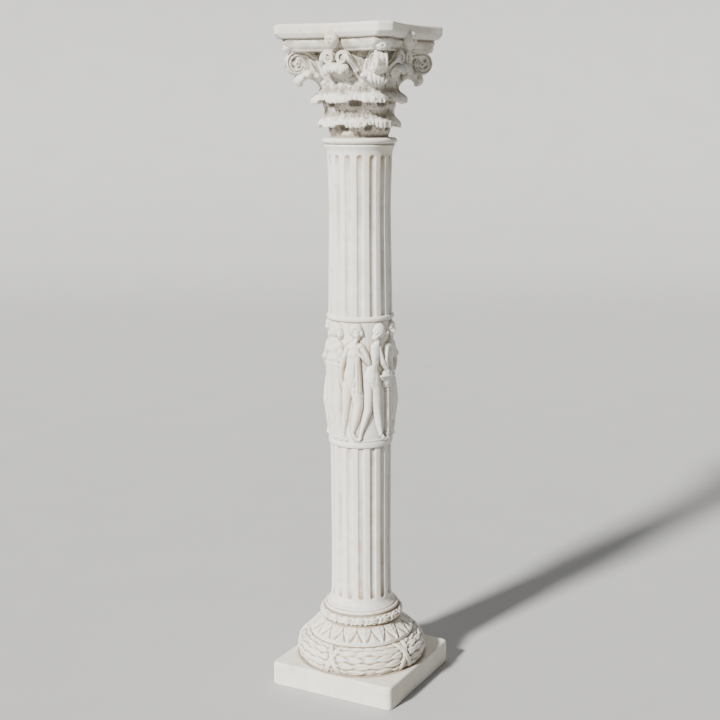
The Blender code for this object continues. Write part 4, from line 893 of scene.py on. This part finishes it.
# %% [markdown]
# The fluted shafts above and below the bathers. Sixteen shallow round-bottomed flutes were run in the mould,
# with round ends. The shaft is not straight: it narrows a little and swells again, which the eye reads as
# alive. Each length is one turned sheet whose flutes are cut along its own normals. Its end goes a few
# millimetres into the ring that covers the joint, so no seam shows.

# %% Flutes on both lengths of the shaft
FLUTES, FLUTE_WIDTH, FLUTE_DEPTH = 16, 0.0175, 0.0048
FLUTE_TURN = math.radians(6.2)
SHAFT_COLUMNS, SHAFT_ROWS = 384, 68
shaft_angles = once_round(SHAFT_COLUMNS)


def flutes(path, low, high):
    """Round channels between two heights, and how near each point is to a channel's end."""
    pitch = math.tau / FLUTES
    turn = (shaft_angles - FLUTE_TURN + pitch / 2) % pitch - pitch / 2
    half = FLUTE_WIDTH / 2
    height = path[:, 1:]
    beyond = np.maximum(0.0, np.maximum(height - (high - half), (low + half) - height))
    channel = dome(np.hypot(turn * path[:, :1], beyond) / half)
    near_end = np.exp(-np.minimum(np.abs(height - high), np.abs(height - low)) / 0.014)
    return -FLUTE_DEPTH * channel, channel * near_end


def shaft_piece(name, corners, low, high, seed):
    """A fluted length: its corners run down the outside, and rows crowd near the channels' ends."""
    path = walked(corners, SHAFT_ROWS, lambda z: 1.0 + 5.0 * hill(z, high, 0.02) + 5.0 * hill(z, low, 0.02))
    relief, ends = flutes(path, low, high)
    sheet = weathered(turned(path, relief, shaft_angles), seed, wobble=0.0004, pits=0.0007, bare=0.55)
    sheet[0, :, 2], sheet[-1, :, 2] = path[0, 1], path[-1, 1]
    # The flute channels are painted darker as shade and dirt, more at their round ends, with real streaks of dirt
    # running down; the hollows of the profile are painted darker as shade.
    streaks = smoothstep(0.0, 0.6, noise(sheet * np.array([1.0, 1.0, 0.12]), 0.02, seed + 5)) * 0.25
    soil = unit(-relief / FLUTE_DEPTH * (0.24 + streaks) + 0.95 * ends)
    profile_hollow_shade = recess_of(turned(path, 0.0 * relief, shaft_angles), (1.6, 0.5), 0.0012)
    piece_from_grids(name, [(sheet, unit(soil + 0.7 * profile_hollow_shade))], "shaft")


NECK_Z = SHAFT_HIGH - 0.027
upper_corners = at_level(SHAFT_HIGH, (91.5, 0), (93.6, -0.2), (94.7, -1.2), (94.6, -4), (93.6, -5), (93.2, -6.2),
                         (92.6, -8), (89.8, -13), (88.1, -18), (87.2, -23))
upper_corners += at_level(NECK_Z, (86.6, 0), (86.4, -18), (85.7, -45), (84.6, -75), (83.8, -105), (83.2, -145),
                          (84, -209), (85.4, -295), (86.7, -382))
upper_corners += at_level(FRIEZE_TOP, (87.4, 22), (87.6, 9))
shaft_piece("upper_flutes", upper_corners, FRIEZE_TOP - 0.006, NECK_Z, 51)
GROUND_Z = FRIEZE_FOOT - 0.018
lower_corners = at_level(GROUND_Z, (84.2, 6), (84.2, -14), (83.8, -60), (83.5, -134), (83, -284), (83.6, -350),
                         (84.4, -397))
lower_corners += at_level(SHAFT_LOW, (85.1, 30.4), (85.6, 24), (86.3, 18.4), (87.6, 15), (89.2, 12), (91.8, 7.4),
                          (93.5, 5.2), (96.2, 4.8), (98, 3.6), (98.3, 1.8), (97.2, 0))
shaft_piece("lower_flutes", lower_corners, SHAFT_LOW + 0.0275, GROUND_Z + 0.012, 61)

# %% [markdown]
# The bell of the capital. Two rings of acanthus leaves are wrapped round a basket shape; only their curled
# tips stand free, with hollows under them painted dark as shade. The cast is coarse here, full of pits and grey
# with dirt.
# The bell is one turned sheet whose profile folds under each ring. The ring's edge is then drawn in between
# the leaves and let droop at each leaf's tip, with small lobes along it.

# %% The bell with its two rings of leaf tips
BELL_COLUMNS, BELL_ROWS, LEAVES = 440, 112, 8
bell_angles = once_round(BELL_COLUMNS)
UNDER_ABACUS = CAPITAL_HIGH - 0.0665
# A ring of leaves: the radius under it; its waist and its lip as (radius, height over the capital's foot); the
# height at which its shaping ends; the radii between which that begins; its turn; and a seed.
UPPER_TIER = (0.0970, (0.1045, 0.1425), (0.1305, 0.1165), 0.100, (0.094, 0.122), 0.0, 71)
LOWER_TIER = (0.0835, (0.0912, 0.0790), (0.1115, 0.0545), 0.038, (0.078, 0.104), math.pi / LEAVES, 73)
POCKET, POCKET_HALF_WIDTH, POCKET_RADIUS = 0.0105, 0.0165, 0.098


def tier(under, waist, lip):
    """A ring of leaves in profile: it swells down from its waist, rolls over a thick lip and goes in under."""
    lip_up = CAPITAL_LOW + lip[1]
    fall = np.linspace(0.0, 0.94, 12)
    out = waist[0] + (lip[0] - waist[0]) * smoothstep(0.0, 1.0, fall) ** 1.15
    down = CAPITAL_LOW + waist[1] - (waist[1] - lip[1]) * fall
    rolled = arc((lip[0] - 0.0048, lip_up - 0.0050), (0.0048, 0.0056), 50, -120, 10)
    inner = [(lip[0] - 0.0140, lip_up - 0.0068), (under + 0.0030, lip_up - 0.0040), (under, lip_up - 0.0075)]
    return [*zip(out, down), *rolled, *inner]


bell_path = walked([
    *at_level(UNDER_ABACUS, (112, 5), (117.5, 4), (117, -2)),
    *at_level(CAPITAL_LOW, (111, 200), (106.5, 178), (105, 160)), *tier(*UPPER_TIER[:3]),
    *at_level(CAPITAL_LOW, (95, 96), (92, 87)), *tier(*LOWER_TIER[:3]),
    *at_level(CAPITAL_LOW, (80, 30), (76.8, 20), (77.5, 16.5)),
    *arc((0.0905, CAPITAL_LOW + 0.0082), (0.0095, 0.0078), 100, -62, 9),
    *at_level(CAPITAL_LOW, (95.5, 0.6), (94, 0))], BELL_ROWS)


def shape_tier(sheet, waist, lip, foot, reach, phase, seed):
    """Draw the ring in between its leaves, and less so between the six lobes of each, and let the tips droop."""
    up = sheet[..., 2] - CAPITAL_LOW
    radius = np.hypot(sheet[..., 0], sheet[..., 1])
    leaf = np.abs(np.cos((bell_angles - phase) * LEAVES / 2)) ** 0.55
    bent = bell_angles - phase + 0.030 * np.sin(11.0 * bell_angles) + 0.018 * np.sin(29.0 * bell_angles + 1.0)
    lobes = np.abs(np.cos(bent * LEAVES * 3.0)) ** 0.8
    weight = np.where(up >= lip[1], 1.0 - smoothstep(lip[1], waist[1], up), smoothstep(foot, lip[1] - 0.008, up))
    weight = weight * smoothstep(*reach, radius)
    uneven = 1.0 + 0.8 * noise(sheet, 0.016, seed)
    inward = (0.0046 * (1.0 - leaf) + 0.0032 * (1.0 - lobes)) * weight * uneven
    droop = (0.0030 * (leaf - 0.5) + 0.0030 * (lobes - 0.5)) * weight * uneven
    moved = sheet.copy()
    moved[..., :2] *= (1.0 - inward / radius)[..., None]
    moved[..., 2] -= droop
    return moved


bell_flat = turned(bell_path, np.zeros((BELL_ROWS, BELL_COLUMNS)), bell_angles)
outwards = normals_of(bell_flat)
bell = shape_tier(shape_tier(bell_flat, *UPPER_TIER[1:]), *LOWER_TIER[1:])
above_collar = smoothstep(0.020, 0.030, bell[..., 2] - CAPITAL_LOW)
ribs = 0.0011 * np.cos(bell_angles * LEAVES * 3) * smoothstep(-0.2, 0.6, np.cos(bell_angles * LEAVES))
pocket_soil = np.zeros(bell.shape[:2])
for _, _, (_, lip_up), _, _, phase, _ in (UPPER_TIER, LOWER_TIER):
    # The hollows under a ring, one between each two of its leaves: pressed in, and painted dark as shade.
    bell_up = bell[..., 2] - CAPITAL_LOW
    between_leaves = (bell_angles + phase) % (math.tau / LEAVES) - math.pi / LEAVES
    across = between_leaves * POCKET_RADIUS / POCKET_HALF_WIDTH + 0.25 * noise(bell_flat, 0.012, 87)
    down = (bell_up - (lip_up - POCKET)) / POCKET + 0.5 * across ** 2 - 0.15
    pocket = dome(np.hypot(across, down)) * (bell_up < lip_up - 0.005)
    bell -= outwards * (POCKET * pocket)[..., None]
    pocket_soil += 0.9 * smoothstep(0.1, 0.9, pocket)
coarse = rough(bell, 0.009, 77) * 0.0017 + 0.6 * ribs
grit = unit(noise(bell, 0.0048, 79) - 0.15) * 0.0046
bell = bell + outwards * ((coarse - grit) * above_collar)[..., None]
bell = weathered(bell, 81, wobble=0.0003, pits=0.0006)
bell[-1, :, 2] = CAPITAL_LOW
bell_up = bell[..., 2] - CAPITAL_LOW
# A burst air bubble left a small round scar on the collar.
scar = hill(np.hypot((bell_angles + 1.06) * 0.1, bell_up - 0.0095), 0.0030, 0.0009) * (bell_up < 0.018)
bell[..., :2] *= (1.0 + 0.009 * scar)[..., None]
radius = np.hypot(bell[..., 0], bell[..., 1])
# Painted shade high on the bell behind the scrolls and in its recesses; the speckles are dirt, fewer on the lips of
# the leaves.
on_lips = unit(smoothstep(0.116, 0.127, radius) + smoothstep(0.100, 0.108, radius) * (bell_up < 0.075))
speckled = 0.24 + 0.26 * noise(bell, 0.02, 83) + 0.5 * unit(noise(bell, 0.0036, 85) - 0.20)
shade_behind_scrolls = 0.34 * smoothstep(0.160, 0.190, bell_up)
bell_soil = recess_of(bell, (3.2, 6.0), 0.0042) + pocket_soil + shade_behind_scrolls
bell_soil = unit(bell_soil + speckled * above_collar * (1.0 - 0.7 * on_lips))
piece_from_grids("capital_bell", [(bell, bell_soil)], "capital")

# %% [markdown]
# The abacus, the slab on top. Its sides are hollow, its horns are cut off, and a quirk and a cove run under
# it. The outline is four shallow parabolas joined by short straights; every level of the profile is that
# outline drawn in by so much, so the corners stay sharp or soft together.

# %% The hollow-sided abacus
ABACUS_HALF, HORN_RUN, SIDE_HOLLOW, HORN_BULGE = 0.1745, 0.031, 0.025, 0.001


def abacus_sheet(levels, per_side=64, per_horn=12):
    """Levels are (inset, height). A side is y = hollow (1 - s^2) - half, and a horn bulges by a half sine."""
    half = ABACUS_HALF - levels[:, :1]
    run = half - HORN_RUN
    s = np.linspace(-1.0, 1.0, per_side)[None, :]
    side_x, side_y = run * s, -half + SIDE_HOLLOW * (1.0 - s * s)
    t = np.linspace(0.0, 1.0, per_horn + 2)[None, 1:-1]
    bulge = HORN_BULGE * np.sin(math.pi * t)
    horn_x, horn_y = run + (half - run) * t + bulge, -half + (half - run) * t - bulge
    quarter_x, quarter_y = np.concatenate([side_x, horn_x], axis=1), np.concatenate([side_y, horn_y], axis=1)
    corners = []
    for quarter in range(4):
        c, sn = round(math.cos(quarter * math.pi / 2)), round(math.sin(quarter * math.pi / 2))
        corners.append(np.stack([quarter_x * c - quarter_y * sn, quarter_x * sn + quarter_y * c], axis=-1))
    outline = np.concatenate(corners, axis=1)
    outline = np.stack([blurred(outline[..., axis], 0.01, 1.1) for axis in (0, 1)], axis=-1)
    height = np.repeat(levels[:, 1:, None], outline.shape[1], axis=1)
    return np.concatenate([outline, height], axis=-1)


abacus_levels = np.concatenate([
    walked(at_level(CAPITAL_HIGH, (110, 0), (7, 0)), 9),
    arc((0.0062, CAPITAL_HIGH - 0.0062), (-0.0062, 0.0062), 90, 0, 8),
    walked(at_level(CAPITAL_HIGH, (0, -6.8), (0.2, -22)), 9),
    walked(at_level(CAPITAL_HIGH, (0.6, -24), (3.3, -28), (5.6, -31.8), (8.5, -34.8), (12, -35.6)), 9),
    walked(at_level(CAPITAL_HIGH, (15.8, -36.6), (17.6, -39), (15.8, -41.2), (15, -44), (16.6, -50), (19, -55.2),
                    (22.5, -59), (26.2, -62.5), (28, -66.8)), 20),
    walked(at_level(CAPITAL_HIGH, (30, -68), (70, -68)), 5)])
level = abacus_levels[:, 1:]
abacus = weathered(abacus_sheet(abacus_levels), 91, wobble=0.0006, pits=0.0006, bare=0.5)
abacus[..., 2] = np.where(level >= CAPITAL_HIGH - 1e-6, CAPITAL_HIGH, np.minimum(abacus[..., 2], CAPITAL_HIGH))
# A painted shadow in the quirk under the slab, and the slab's painted shadow with some dirt on the cove below;
# recesses are painted darker as shade.
quirk_shadow = 0.9 * hill(level, CAPITAL_HIGH - 0.0385, 0.0022)
cove_shadow_and_dirt = (0.36 + 0.25 * noise(abacus, 0.02, 93)) * (level < CAPITAL_HIGH - 0.04)
abacus_soil = unit(recess_of(abacus, (1.6, 2.0), 0.0016) + quirk_shadow + cove_shadow_and_dirt)
piece_from_grids("abacus", [(abacus, abacus_soil)], "capital")

# %% [markdown]
# Scrolls and leaves. A scroll is a strap that rises from the bell, rolls over and winds in towards its eye; a
# leaf is a strap that widens, then curls. Both are one section carried along a bent path, in a frame of
# (outward, across, upward), and turned to each corner or side. The strap's edge carries two fillets with a
# groove between them, as the real one does.

# %% A section carried along a path
def eased(corners, count, rounds=6):
    """A path in space through the corners in equal steps, with its bends rubbed round."""
    path = np.asarray(corners, float)
    gone = np.concatenate([[0.0], np.cumsum(np.linalg.norm(np.diff(path, axis=0), axis=1))])
    where = np.linspace(0.0, gone[-1], count)
    path = np.stack([np.interp(where, gone, path[:, axis]) for axis in range(path.shape[1])], axis=1)
    for _ in range(rounds):
        path[1:-1] = path[:-2] * 0.25 + path[1:-1] * 0.5 + path[2:] * 0.25
    return path


def swept(path, across, section, widths, thicknesses):
    """Section points (sideways, through) scaled by widths and thicknesses, square to the path at each step."""
    run = np.gradient(path, axis=0)
    run /= np.linalg.norm(run, axis=1)[:, None]
    through = np.cross(np.broadcast_to(across, run.shape), run)
    through /= np.linalg.norm(through, axis=1)[:, None]
    side = section[..., 0] * widths[:, None]
    thick = section[..., 1] * thicknesses[:, None]
    return path[:, None, :] + side[..., None] * np.asarray(across) + thick[..., None] * through[:, None, :]


def placed(points, turn):
    """Points in (outward, across, upward) turned about Z, with their columns reversed if they face inwards."""
    down, around = np.gradient(points, axis=0), np.roll(points, -1, axis=1) - np.roll(points, 1, axis=1)
    if (np.cross(down, around) * (points - points.mean((0, 1)))).sum() < 0.0:
        points = points[:, ::-1]
    c, s = math.cos(turn), math.sin(turn)
    return np.stack([points[..., 0] * c - points[..., 1] * s, points[..., 0] * s + points[..., 1] * c,
                     points[..., 2]], axis=-1)


def four(points, first_turn, seed, spread=(2.5, 2.0), depth=0.0016, soil=0.12):
    """The same sheet on four sides, each weathered in its own way, ready for a piece."""
    grids = []
    for quarter in range(4):
        sheet = placed(points, first_turn + quarter * math.pi / 2)
        sheet = weathered(sheet, seed + quarter, wobble=0.0006, pits=0.0009, bare=0.3)
        # Recesses are painted darker as shade, and an uneven amount of dirt lies over the whole sheet.
        uneven = 0.6 + 0.7 * noise(sheet, 0.018, seed + 60)
        grids.append((sheet, unit(recess_of(sheet, spread, depth) + soil * uneven)))
    return grids


CORNERS, SIDES = math.pi / 4, 0.0
ACROSS, OUTWARD = (0.0, 1.0, 0.0), (1.0, 0.0, 0.0)


def on_four(name, sheet, first_turn, seed, **shade_and_dirt_settings):
    """A piece of the capital that stands on its four corners or sides."""
    piece_from_grids(name, four(sheet, first_turn, seed, **shade_and_dirt_settings), "capital")


def upright(corners):
    """Corners (outward, up) as points in (outward, across, upward)."""
    return [(out, 0.0, up) for out, up in corners]


def repeated(section, rows):
    """The same section at every step of a path, ready to be changed step by step."""
    return np.broadcast_to(section, (rows, *section.shape)).copy()


def round_box(count, power=5.0):
    """A rounded square section from -1 to 1."""
    turn = once_round(count)[0]
    x, y = np.cos(turn), np.sin(turn)
    scale = (np.abs(x) ** power + np.abs(y) ** power) ** (-1.0 / power)
    return np.stack([x * scale, y * scale], axis=1)


def fillet_section(count):
    """The strap's section: a groove along each edge, and a shallow channel along its outer face."""
    section = round_box(count, 7.0)
    edge = dome(section[:, 1] / 0.62, 1) * (np.abs(section[:, 0]) > 0.7)
    section[:, 0] -= np.sign(section[:, 0]) * 0.13 * edge
    channel = dome(section[:, 0] / 0.66, 1) * (np.abs(section[:, 1]) > 0.7)
    section[:, 1] -= np.sign(section[:, 1]) * 0.28 * channel
    return section


print("strap section of", len(fillet_section(40)), "points")

# %% Corner volutes, with their webs, eyes and the knobs on the horns
VOLUTE_OUT, VOLUTE_UP = 0.170, CAPITAL_LOW + 0.204
VOLUTE_RADIUS, VOLUTE_BAND, VOLUTE_TURNS, VOLUTE_ROWS = 0.033, 0.0125, 1.15, 130
WEB_RADIUS, WEB_ROWS = 0.0290, 44


def winding(centre, radius, turns, start, count, keep=0.26):
    """A spiral that winds in clockwise from the start angle, to keep times its radius."""
    t = np.linspace(0.0, 1.0, count)
    angle = math.radians(start) - t * turns * math.tau
    reach = radius * (1.0 - (1.0 - keep) * t ** 0.92)
    return np.stack([centre[0] + reach * np.cos(angle), centre[1] + reach * np.sin(angle)], axis=1)


rolled = winding((VOLUTE_OUT, VOLUTE_UP), VOLUTE_RADIUS - VOLUTE_BAND / 2, VOLUTE_TURNS, 90, 90, keep=0.44)
stem = at_level(CAPITAL_LOW, (96, 166), (105, 184), (114, 199), (127, 214), (147, 228.5))
volute_path = eased(upright([*stem, *rolled]), VOLUTE_ROWS, rounds=3)
step = np.linspace(0.0, 1.0, VOLUTE_ROWS)
section = repeated(fillet_section(44), VOLUTE_ROWS)
side = np.abs(section[..., 0])
veins = np.cos(2.5 * math.pi * side) * (0.6 + 0.4 * np.cos(9.0 * math.tau * step[:, None] - 3.0 * side))
section[..., 1] *= 1.0 + 0.34 * veins * (side < 0.72) * (step[:, None] > 0.12)
strap = swept(volute_path, ACROSS, section, np.interp(step, (0.0, 0.25, 0.8, 1.0), (0.011, 0.0172, 0.0155, 0.0105)),
              np.interp(step, (0.0, 0.3, 1.0), (0.0088, 0.0072, 0.0048)))
on_four("corner_volutes", strap, CORNERS, 101, depth=0.0013, soil=0.22)

web_path = eased(upright([(0.088, VOLUTE_UP - 0.010), (0.118, VOLUTE_UP - 0.005), (0.146, VOLUTE_UP),
                          (0.1985, VOLUTE_UP)]), WEB_ROWS)
step = np.linspace(0.0, 1.0, WEB_ROWS)[:, None]
beyond = unit((web_path[:, 0] - VOLUTE_OUT) / WEB_RADIUS)
web_tall = WEB_RADIUS * np.sqrt(np.clip(1.0 - beyond ** 2, 0.01, 1))
box = repeated(round_box(48, 4.0), WEB_ROWS)
ridges = np.cos(9.0 * math.pi * step + 5.0 * box[..., 1]) * (1.0 - smoothstep(0.34, 0.52, step))
box[..., 0] *= 1.0 + 0.14 * ridges * (np.abs(box[..., 0]) > 0.6)
fan = np.arctan2(box[..., 1] * web_tall[:, None], web_path[:, :1] - VOLUTE_OUT + 1e-6)
palmette = np.cos(4.0 * fan + 0.6) * smoothstep(0.40, 0.5, step) * (1.0 - smoothstep(0.90, 0.97, step))
box[..., 0] *= 1.0 + 0.08 * palmette * (np.abs(box[..., 0]) > 0.6)
web_wide = np.interp(step[:, 0], (0.0, 0.3, 0.52, 1.0), (0.024, 0.0175, 0.0130, 0.0115))
on_four("volute_webs", swept(web_path, ACROSS, box, web_wide, web_tall), CORNERS, 111, soil=0.35)


def rosette(centre, radii, petals, rows=26, columns=36, cut=0.16, axis=1):
    """An egg lying along one axis (0 outward, 1 across) whose sides are drawn in between its petals."""
    polar = np.linspace(0.04, math.pi - 0.04, rows)[:, None]
    around = once_round(columns)
    out = np.sin(polar) * (1.0 - cut * (0.5 - 0.5 * np.cos(petals * around)) * smoothstep(0.25, 0.8, np.sin(polar)))
    along = np.cos(polar) * (1.0 - 0.20 * hill(np.sin(polar), 0.0, 0.34)) + 0.0 * around
    first, second = out * np.cos(around), out * np.sin(around)
    parts = (along, first, second) if axis == 0 else (first, along, second)
    return np.stack([centre[k] + radii[k] * parts[k] for k in range(3)], axis=-1)


eye = rosette((VOLUTE_OUT, 0.0, VOLUTE_UP), (0.0130, 0.0180, 0.0125), 5, cut=0.22)
on_four("volute_eyes", eye, CORNERS, 121, soil=0.2)
knob = rosette((VOLUTE_OUT + 0.019, 0.0, CAPITAL_HIGH - 0.0585), (0.0165, 0.0170, 0.0125), 6, 30, 56, 0.11, axis=0)
on_four("horn_knobs", knob, CORNERS, 131, soil=0.2)

# %% Acanthus leaves under the volutes and in the middle of each side
def leaf_section(count, ribs, rib_rise):
    """A leaf's section: a flat egg with raised ribs along its upper face."""
    turn = once_round(count)[0]
    x, y = np.cos(turn), np.sin(turn)
    upper = rib_rise * (np.abs(np.cos(ribs * math.pi / 2 * x)) - 0.5) * (1.0 - x ** 4) * np.sign(y)
    return np.stack([x, np.sign(y) * np.abs(y) ** 0.7 + upper], axis=1)


def leaf(corners, widths, thicknesses, rows, lobes=4.5, droop=0.0, part=0.0, ribs=5, count=48):
    """A leaf along the corners, in mm: its edge is lobed, and ribs rise on it half way. Its tip may droop at both
    sides and part in the middle."""
    path = eased(upright(at_level(CAPITAL_LOW, *corners)), rows, rounds=5)
    t = np.linspace(0.0, 1.0, rows)
    wide, thick = (np.interp(t, np.linspace(0.0, 1.0, len(sizes)), sizes) / 1000.0
                   for sizes in (widths, thicknesses))
    plain, ribbed = leaf_section(count, ribs, 0.0), leaf_section(count, ribs, 0.55)
    section = plain + (ribbed - plain) * smoothstep(0.35, 0.62, t)[:, None, None]
    sheet = swept(path, ACROSS, section, wide * (1.0 + 0.10 * np.cos(math.tau * lobes * t)), thick)
    share = section[..., 0]
    late = smoothstep(0.45, 0.9, t)[:, None]
    sheet[..., 2] -= late * (droop * np.abs(share) ** 1.6 + part * hill(share, 0.0, 0.14))
    return sheet


corner = leaf([(88, 134), (97, 150), (107, 163), (121, 174), (137, 180), (151, 178), (160, 172), (164, 164),
               (162, 158), (157, 157)], (22, 24, 27, 31, 32.5, 31, 27, 18), (9, 9, 9, 9.5, 10, 10.5, 10, 7.5),
              rows=64, droop=0.004)
on_four("corner_leaves", corner, CORNERS, 141, depth=0.0020, soil=0.30)
middle = leaf([(90, 146), (98, 166), (105, 184), (114, 196), (126, 202), (136, 200), (140, 193), (138, 187)],
              (14, 15, 18, 24, 32, 36, 34, 26), (6, 6, 6.5, 7, 7.5, 7.8, 7.5, 6), rows=56, lobes=2.5,
              droop=0.012, part=0.008)
on_four("side_leaves", middle, SIDES, 151, depth=0.0020, soil=0.30)

# %% Small scrolls back to back on each side
HELIX_RADIUS, HELIX_SPREAD, HELIX_UP, HELIX_OUT = 0.0200, 0.0208, CAPITAL_LOW + 0.2170, 0.127
HELIX_ROWS = 80
curl = winding((0.0, 0.0), HELIX_RADIUS - 0.0040, 1.15, 160, 56, keep=0.46)
step = np.linspace(0.0, 1.0, HELIX_ROWS)
helix_grids, button_grids = [], []
for side in (-1, 1):
    stalk = [(side * across, up) for across, up in at_level(CAPITAL_LOW, (50, 184), (45.5, 197), (42, 208))]
    flat_path = eased(stalk + [(side * (HELIX_SPREAD - x), HELIX_UP + y) for x, y in curl], HELIX_ROWS, rounds=3)
    path = np.insert(flat_path, 0, HELIX_OUT - 0.026 * (1.0 - smoothstep(0.0, 0.3, step)), axis=1)
    band = swept(path, OUTWARD, repeated(fillet_section(26), HELIX_ROWS),
                 np.interp(step, (0, 0.3, 1), (0.009, 0.0100, 0.0085)),
                 np.interp(step, (0, 0.3, 1), (0.0070, 0.0048, 0.0038)))
    button, back = (
        rosette((HELIX_OUT - inward, side * HELIX_SPREAD, HELIX_UP), radii, petals, *counts, cut, axis=0)
        for inward, radii, petals, counts, cut in (
            (0.012, (0.0225, 0.0066, 0.0066), 5, (16, 30), 0.16),
            (0.016, (0.0215, 0.0160, 0.0160), 1, (14, 24), 0.0)))
    helix_grids += four(band, SIDES, 161 + side)
    button_grids += four(button, SIDES, 171 + side) + four(back, SIDES, 175 + side, soil=0.4)
piece_from_grids("helices", helix_grids, "capital")
piece_from_grids("helix_buttons", button_grids, "capital")

# %% The mask in the middle of each side
def mask_sheet(rows=60, columns=68):
    """An egg that faces outwards, with the general face, waves of hair over it and curls of beard below."""
    polar = np.linspace(0.03, math.pi - 0.03, rows)[:, None]
    around = once_round(columns)
    out, across, up = np.sin(polar) * np.cos(around), np.sin(polar) * np.sin(around), np.cos(polar) + 0.0 * around
    narrow = 1.0 - 0.34 * (1.0 - smoothstep(-1.0, -0.1, up))
    front = smoothstep(0.0, 0.35, out)
    features = face(across * 1.22, up * 1.25 + 0.06, 0.0130) * (np.abs(up) < 0.86)
    brow_line = 0.52 - 0.25 * across ** 2
    locks = 0.0014 * np.cos(26.0 * across + 5.0 * up) * smoothstep(brow_line - 0.04, brow_line + 0.04, up)
    bearded = 1.0 - smoothstep(-0.78, -0.62, up - 0.5 * across ** 2)
    beard = 0.0026 * np.cos(15.0 * across) * np.cos(17.0 * up + 2.0 * across) * bearded
    hair_cap = 0.0016 * smoothstep(brow_line - 0.03, brow_line + 0.03, up)
    lift = hair_cap + (features + locks + beard) * front
    return np.stack([0.146 + (0.0175 + lift) * out, 0.0182 * narrow * across, CAPITAL_HIGH - 0.0406 + 0.0245 * up],
                    axis=-1)


on_four("masks", mask_sheet(), SIDES, 181, spread=(2.2, 2.2), depth=0.0009, soil=0.12)

# %% [markdown]
# The studio. The photograph has no ground in it, so the floor is plain and pale, and curves up far behind into a
# wall of the same grey, so that no line shows where they meet. The sun stood to the left and fairly high behind
# the camera: left faces are bright and right faces lie in soft shade. A sun lamp a few degrees wide and a faint
# pale sky give that without hard edges that would hide the carving. The camera's place was fitted to the photo.

# %% Floor, light and camera
def studio_material():
    """A plain matt floor with faint mottling."""
    material = bpy.data.materials.new("studio floor")
    material.use_nodes = True
    shader = material.node_tree.nodes["Principled BSDF"]
    place = Wire(material.node_tree, material.node_tree.nodes.new("ShaderNodeTexCoord").outputs["Object"])
    mottle = place.node("ShaderNodeTexNoise", {"Vector": place, "Scale": 3.0, "Detail": 2.0})
    colour = mottle.mix((0.43, 0.43, 0.425, 1.0), (0.46, 0.46, 0.455, 1.0))
    material.node_tree.links.new(colour.socket, shader.inputs["Base Color"])
    shader.inputs["Roughness"].default_value = 0.9
    return material


FLOOR_REACH, FLAT_TO, BEND_RADIUS, WALL_TOP, UNDER = 30.0, 7.0, 4.0, 14.0, 0.0005
AWAY, ASIDE = np.array([-0.473, 0.881]), np.array([0.881, 0.473])
sweep = [(-FLOOR_REACH, -UNDER), (FLAT_TO, -UNDER)]
sweep += [(FLAT_TO + BEND_RADIUS * math.sin(turn), BEND_RADIUS * (1.0 - math.cos(turn)) - UNDER)
          for turn in np.linspace(0.0, math.pi / 2, 24)[1:]]
sweep += [(FLAT_TO + BEND_RADIUS, WALL_TOP)]
places = [(*(AWAY * out + ASIDE * side), up) for out, up in sweep for side in (-FLOOR_REACH, FLOOR_REACH)]
floor_mesh = bpy.data.meshes.new("floor")
floor_mesh.from_pydata(places, [], [(2 * k, 2 * k + 1, 2 * k + 3, 2 * k + 2) for k in range(len(sweep) - 1)])
floor_mesh.shade_smooth()
floor_mesh.materials.append(studio_material())
floor = bpy.data.objects.new("floor", floor_mesh)
bpy.context.scene.collection.objects.link(floor)

SUN_UP, SUN_TURN, SUN_WIDTH = 33.0, -13.0, 6.0
sun = bpy.data.lights.new("sun", "SUN")
sun.energy, sun.angle, sun.color = 9.4, math.radians(SUN_WIDTH), (1.0, 0.985, 0.955)
sun_holder = bpy.data.objects.new("sun", sun)
sun_holder.rotation_euler = (math.radians(90.0 - SUN_UP), 0.0, math.radians(SUN_TURN))
bpy.context.scene.collection.objects.link(sun_holder)
world = bpy.data.worlds.new("pale sky")
world.use_nodes = True
world.node_tree.nodes["Background"].inputs["Color"].default_value = (0.94, 0.955, 1.0, 1.0)
world.node_tree.nodes["Background"].inputs["Strength"].default_value = 0.17
bpy.context.scene.world = world

CAMERA_AT, CAMERA_TURN, CAMERA_DOWN, CAMERA_LEAN = (1.634, -3.043, 1.595), 28.257, 11.18, -0.239
camera_data = bpy.data.cameras.new("camera")
camera_data.sensor_width, camera_data.lens = 36.0, 64.27
camera = bpy.data.objects.new("camera", camera_data)
turn, tip, lean = (Matrix.Rotation(math.radians(angle), 4, axis) for angle, axis in (
    (CAMERA_TURN, "Z"), (90.0 - CAMERA_DOWN, "X"), (CAMERA_LEAN, "Z")))
camera.matrix_world = Matrix.Translation(CAMERA_AT) @ turn @ tip @ lean
bpy.context.scene.collection.objects.link(camera)
bpy.context.scene.camera = camera

# %% The end
bpy.context.view_layer.update()
